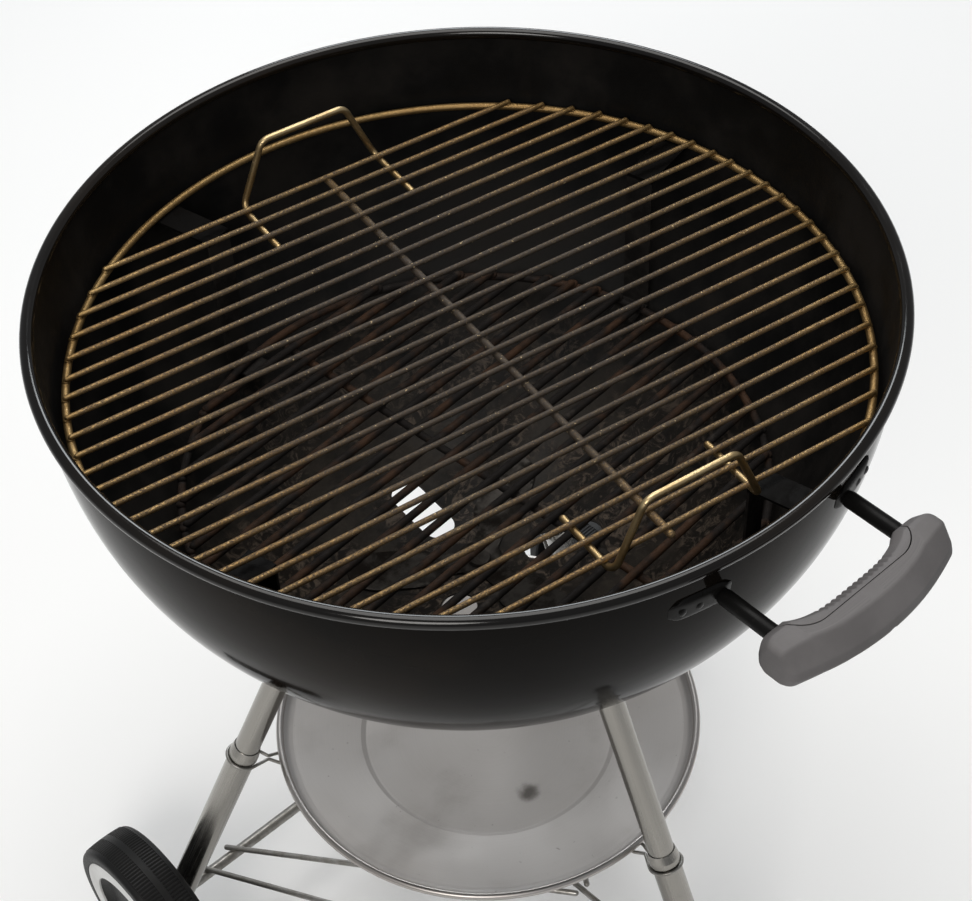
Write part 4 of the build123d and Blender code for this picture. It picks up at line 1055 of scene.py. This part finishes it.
def make_handle_bracket():
    bowl = bowl_radius_at(HANDLE_HEIGHT)
    start = sqrt(bowl**2 - HANDLE_HALF_WIDTH**2) + HANDLE_BAR / 2
    arm = [(HANDLE_HALF_WIDTH, start, 0), (HANDLE_HALF_WIDTH, HANDLE_BAR_REACH, 0)]
    path = bent(mirrored(arm), HANDLE_BEND, steps=10)
    shape = Shape().tube(path, HANDLE_BAR / 2, sides=24)
    spot_size, spot_lift = (0.0034, 0.0013, 0.0034), 0.0022
    for side in (-1, 1):
        shape.join(foot_plate(side))
        for shift in (0.014, 0.025):
            x = side * (HANDLE_HALF_WIDTH + shift)
            shape.ball((x, sqrt((bowl + spot_lift) ** 2 - x**2), 0), spot_size)
    piece("handle_bar", shape, [BAR], "kettle", ["handle_bracket"], HANDLE_FRAME, sharp=50)


def grip_section(inner, outer, height):
    """Section of the grip from its inner edge round over the top: reach and height."""
    depth = outer - inner
    corners = [(inner + depth * across, height * up) for across, up in GRIP_MARKS]
    loop = corners[-1:] + corners + corners[:1]
    points = []
    for index, bend in enumerate(GRIP_BENDS):
        before, corner, after = (Vector(point) for point in loop[index:index + 3])
        back, ahead = (before - corner), (after - corner)
        half = back.angle(ahead) / 2
        room = 0.45 * min(back.length, ahead.length) * tan(half)
        points += bent([before, corner, after], min(bend, room), steps=5)[1:-1]
    return points


def grip_ridge(x):
    """Depth of the finger grooves on the grip's inner side at a place along it."""
    pitch, reach, depth = 0.0047, 0.0320, 0.0012
    fade = max(0.0, 1 - (abs(x) / reach) ** 8)
    return depth * fade * (0.5 + 0.5 * cos(2 * pi * x / pitch))


def grip_solid():
    """Whole grip as one skin: a bowed bar with horns that reach back over the handle bar."""
    length, count, tip_steps = GRIP_HALF_LENGTH, 264, 8
    round_end, round_height, slant_depth = 0.0065, 0.0040, 0.009
    ridge_band, ridge_fade = 0.0115, 0.005
    slant_start = length - 0.012
    horn = length - 0.024
    straight = length - round_end
    stations = [straight * (2 * step / count - 1) for step in range(count + 1)]
    tips = [straight + round_end * sin(pi / 2 * step / tip_steps) for step in range(1, tip_steps + 1)]
    rings = []
    for x in [-tip for tip in reversed(tips)] + stations + tips:
        share = abs(x) / length
        outer = GRIP_END_OUTER + (GRIP_MID_OUTER - GRIP_END_OUTER) * (1 - share**2)
        inner = GRIP_END_INNER
        if abs(x) < horn:
            inner += (GRIP_MID_INNER - GRIP_END_INNER) * (1 - (abs(x) / horn) ** 4)
        end = max(0.0, (abs(x) - straight) / round_end)
        shrink = 1 - sqrt(max(0.0, 1 - end**2))
        slant = max(0.0, (abs(x) - slant_start) / (length - slant_start))
        outer -= round_end * shrink
        inner += slant_depth * (1 - sqrt(max(0.0, 1 - slant**2)))
        height = GRIP_HALF_HEIGHT - round_height * shrink
        ring = []
        for reach, z in grip_section(inner, outer, height):
            near = max(0.0, min(1.0, (inner + ridge_band - reach) / ridge_fade))
            ring.append((x, reach + grip_ridge(x) * near, z))
        rings.append(ring)
    return Shape().rings(rings, caps=True)


def seam_block(grow):
    """Space inside the bar's centre line, where the inner grip half lies."""
    half, far, half_height = HANDLE_HALF_WIDTH + grow, HANDLE_BAR_REACH + grow, 0.03
    near = GRIP_END_INNER - 0.02
    plan = bent(mirrored([(half, near), (half, far)]), HANDLE_BEND, steps=14)
    return prism(plan, -half_height, half_height)


def make_grip():
    for name, operation, grow in (("inner", "INTERSECT", -SEAT_GAP), ("outer", "DIFFERENCE", SEAT_GAP)):
        half = piece(f"grip_half_{name}", grip_solid(), [GRIP], "kettle", [f"grip_{name}"],
                     HANDLE_FRAME)
        trim(half, seam_block(grow).placed(HANDLE_FRAME), operation)
        if name == "outer":
            recess = prism(circle(0.0037, sides=32), GRIP_MID_OUTER - 0.0085, GRIP_MID_OUTER + 0.01)
            trim(half, recess.placed(SCREW_FRAME), "DIFFERENCE")
        smooth(half, 32)


def make_grip_screw():
    top, low = GRIP_MID_OUTER - 0.006, HANDLE_BAR_REACH - 0.005
    head, rounding, shank, point = 0.0035, 0.001, 0.0018, 0.002
    under, socket = top - 0.0022, top - 0.0012
    edge = arc_points((head - rounding, top - rounding), rounding, 0, pi / 2, steps=5)
    profile = [(0, low), (shank * 0.5, low), (shank, low + point), (shank, under), (head, under)]
    profile += edge + [(0.0012, top), (0.0008, socket), (0, socket)]
    piece("grip_screw_pan_head", Shape().lathe(profile, 40), [SCREW], "kettle", ["grip_screw"],
          SCREW_FRAME)


def dress_cad(node, material, bevel=0.0):
    """Give a CAD node that stays its finish, and softened edges where it has sharp ones."""
    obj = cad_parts[node]
    obj.data.materials.clear()
    obj.data.materials.append(material)
    join = obj.modifiers.new("join", "WELD")
    join.merge_threshold = MERGE_DISTANCE
    if bevel:
        edge = obj.modifiers.new("edge", "BEVEL")
        edge.width = bevel
        edge.segments = 2
        edge.limit_method = "ANGLE"
        edge.angle_limit = radians(40)
        edge.harden_normals = True


make_bowl()
make_cooking_grate()
make_charcoal_grate()
make_legs()
make_foot_cap()
make_leg_plugs()
make_axle()
make_rack()
make_wheel("left", -1)
make_wheel("right", 1)
make_ash_pan()
make_pan_clips()
make_handle_bracket()
make_grip()
make_grip_screw()
dress_cad("grate_brackets", BRACKET, 0.0004)
dress_cad("leg_sockets", ENAMEL_CAD)
dress_cad("push_nuts", STEEL_CAD)
dress_cad("damper_blades", DAMPER)
dress_cad("damper_stem", DAMPER)
dress_cad("damper_lever", DAMPER, 0.0003)
dress_cad("lever_knob", BLACK_PLASTIC_CAD)


# Floor, light and camera

FLOOR_SIZE = 30
LIGHT_TARGET = Vector((0, AXIS_Y, 0.5))
# Round soft lamps: name, place, width, power in watts and colour
LAMPS = (
    ("overhead", (0.3, 0.5, 3.2), 2.4, 58, (1.0, 0.985, 0.96)),
    ("key", (-2.2, -1.5, 2.6), 1.4, 42, (1.0, 0.97, 0.93)),
    ("back", (1.9, 2.2, 2.2), 1.2, 28, (0.93, 0.97, 1.0)),
)
WORLD_COLOUR = (0.80, 0.82, 0.85, 1)
WORLD_STRENGTH = 0.36
SENSOR_WIDTH = 36
# Focal length and picture width in pixels
FOCAL_PIXELS, PICTURE_PIXELS = 1942.06, 972


def make_floor():
    mesh = bpy.data.meshes.new("floor")
    size = FLOOR_SIZE
    corners = [(-size, -size, 0), (size, -size, 0), (size, size, 0), (-size, size, 0)]
    mesh.from_pydata(corners, [], [(0, 1, 2, 3)])
    floor = add_object("floor", mesh)
    look = Finish("floor", "Object")
    look.set(Base_Color=look.mix(look.noise(0.8, 3), (0.90, 0.90, 0.895), (0.93, 0.93, 0.925)),
             Roughness=0.85, Specular_IOR_Level=0.2)
    mesh.materials.append(look.material)


def make_light():
    for name, place, size, power, colour in LAMPS:
        data = bpy.data.lights.new(name, "AREA")
        data.shape = "DISK"
        data.size = size
        data.energy = power
        data.color = colour
        lamp = add_object(name, data)
        lamp.location = place
        lamp.rotation_euler = (LIGHT_TARGET - Vector(place)).to_track_quat("-Z", "Y").to_euler()
    world = bpy.data.worlds.new("world")
    bpy.context.scene.world = world
    world.use_nodes = True
    world.node_tree.nodes["Background"].inputs["Color"].default_value = WORLD_COLOUR
    world.node_tree.nodes["Background"].inputs["Strength"].default_value = WORLD_STRENGTH


def make_camera():
    """Camera at the photograph's view, placed from the middle of the rim."""
    turn = Matrix.Rotation(radians(-40), 3, "Z")
    distance, elevation = 1.2776, 0.717
    yaw, pitch, roll = 0.009, -0.804, -0.046
    rim_middle = Vector((0, AXIS_Y, RIM_LINE))
    place = rim_middle + turn @ Vector((0, -distance * cos(elevation), distance * sin(elevation)))
    forward = turn @ Vector((sin(yaw) * cos(pitch), cos(yaw) * cos(pitch), sin(pitch)))
    level = turn @ Vector((cos(yaw), -sin(yaw), 0))
    upright = level.cross(forward)
    right = level * cos(roll) + upright * sin(roll)
    up = upright * cos(roll) - level * sin(roll)
    data = bpy.data.cameras.new("camera")
    data.sensor_width = SENSOR_WIDTH
    data.lens = SENSOR_WIDTH * FOCAL_PIXELS / PICTURE_PIXELS
    data.clip_start = 0.05
    camera = add_object("camera", data)
    camera.matrix_world = frame_from(right, up, -forward, place)
    bpy.context.scene.camera = camera


make_floor()
make_light()
make_camera()
bpy.context.scene.view_settings.view_transform = "Standard"
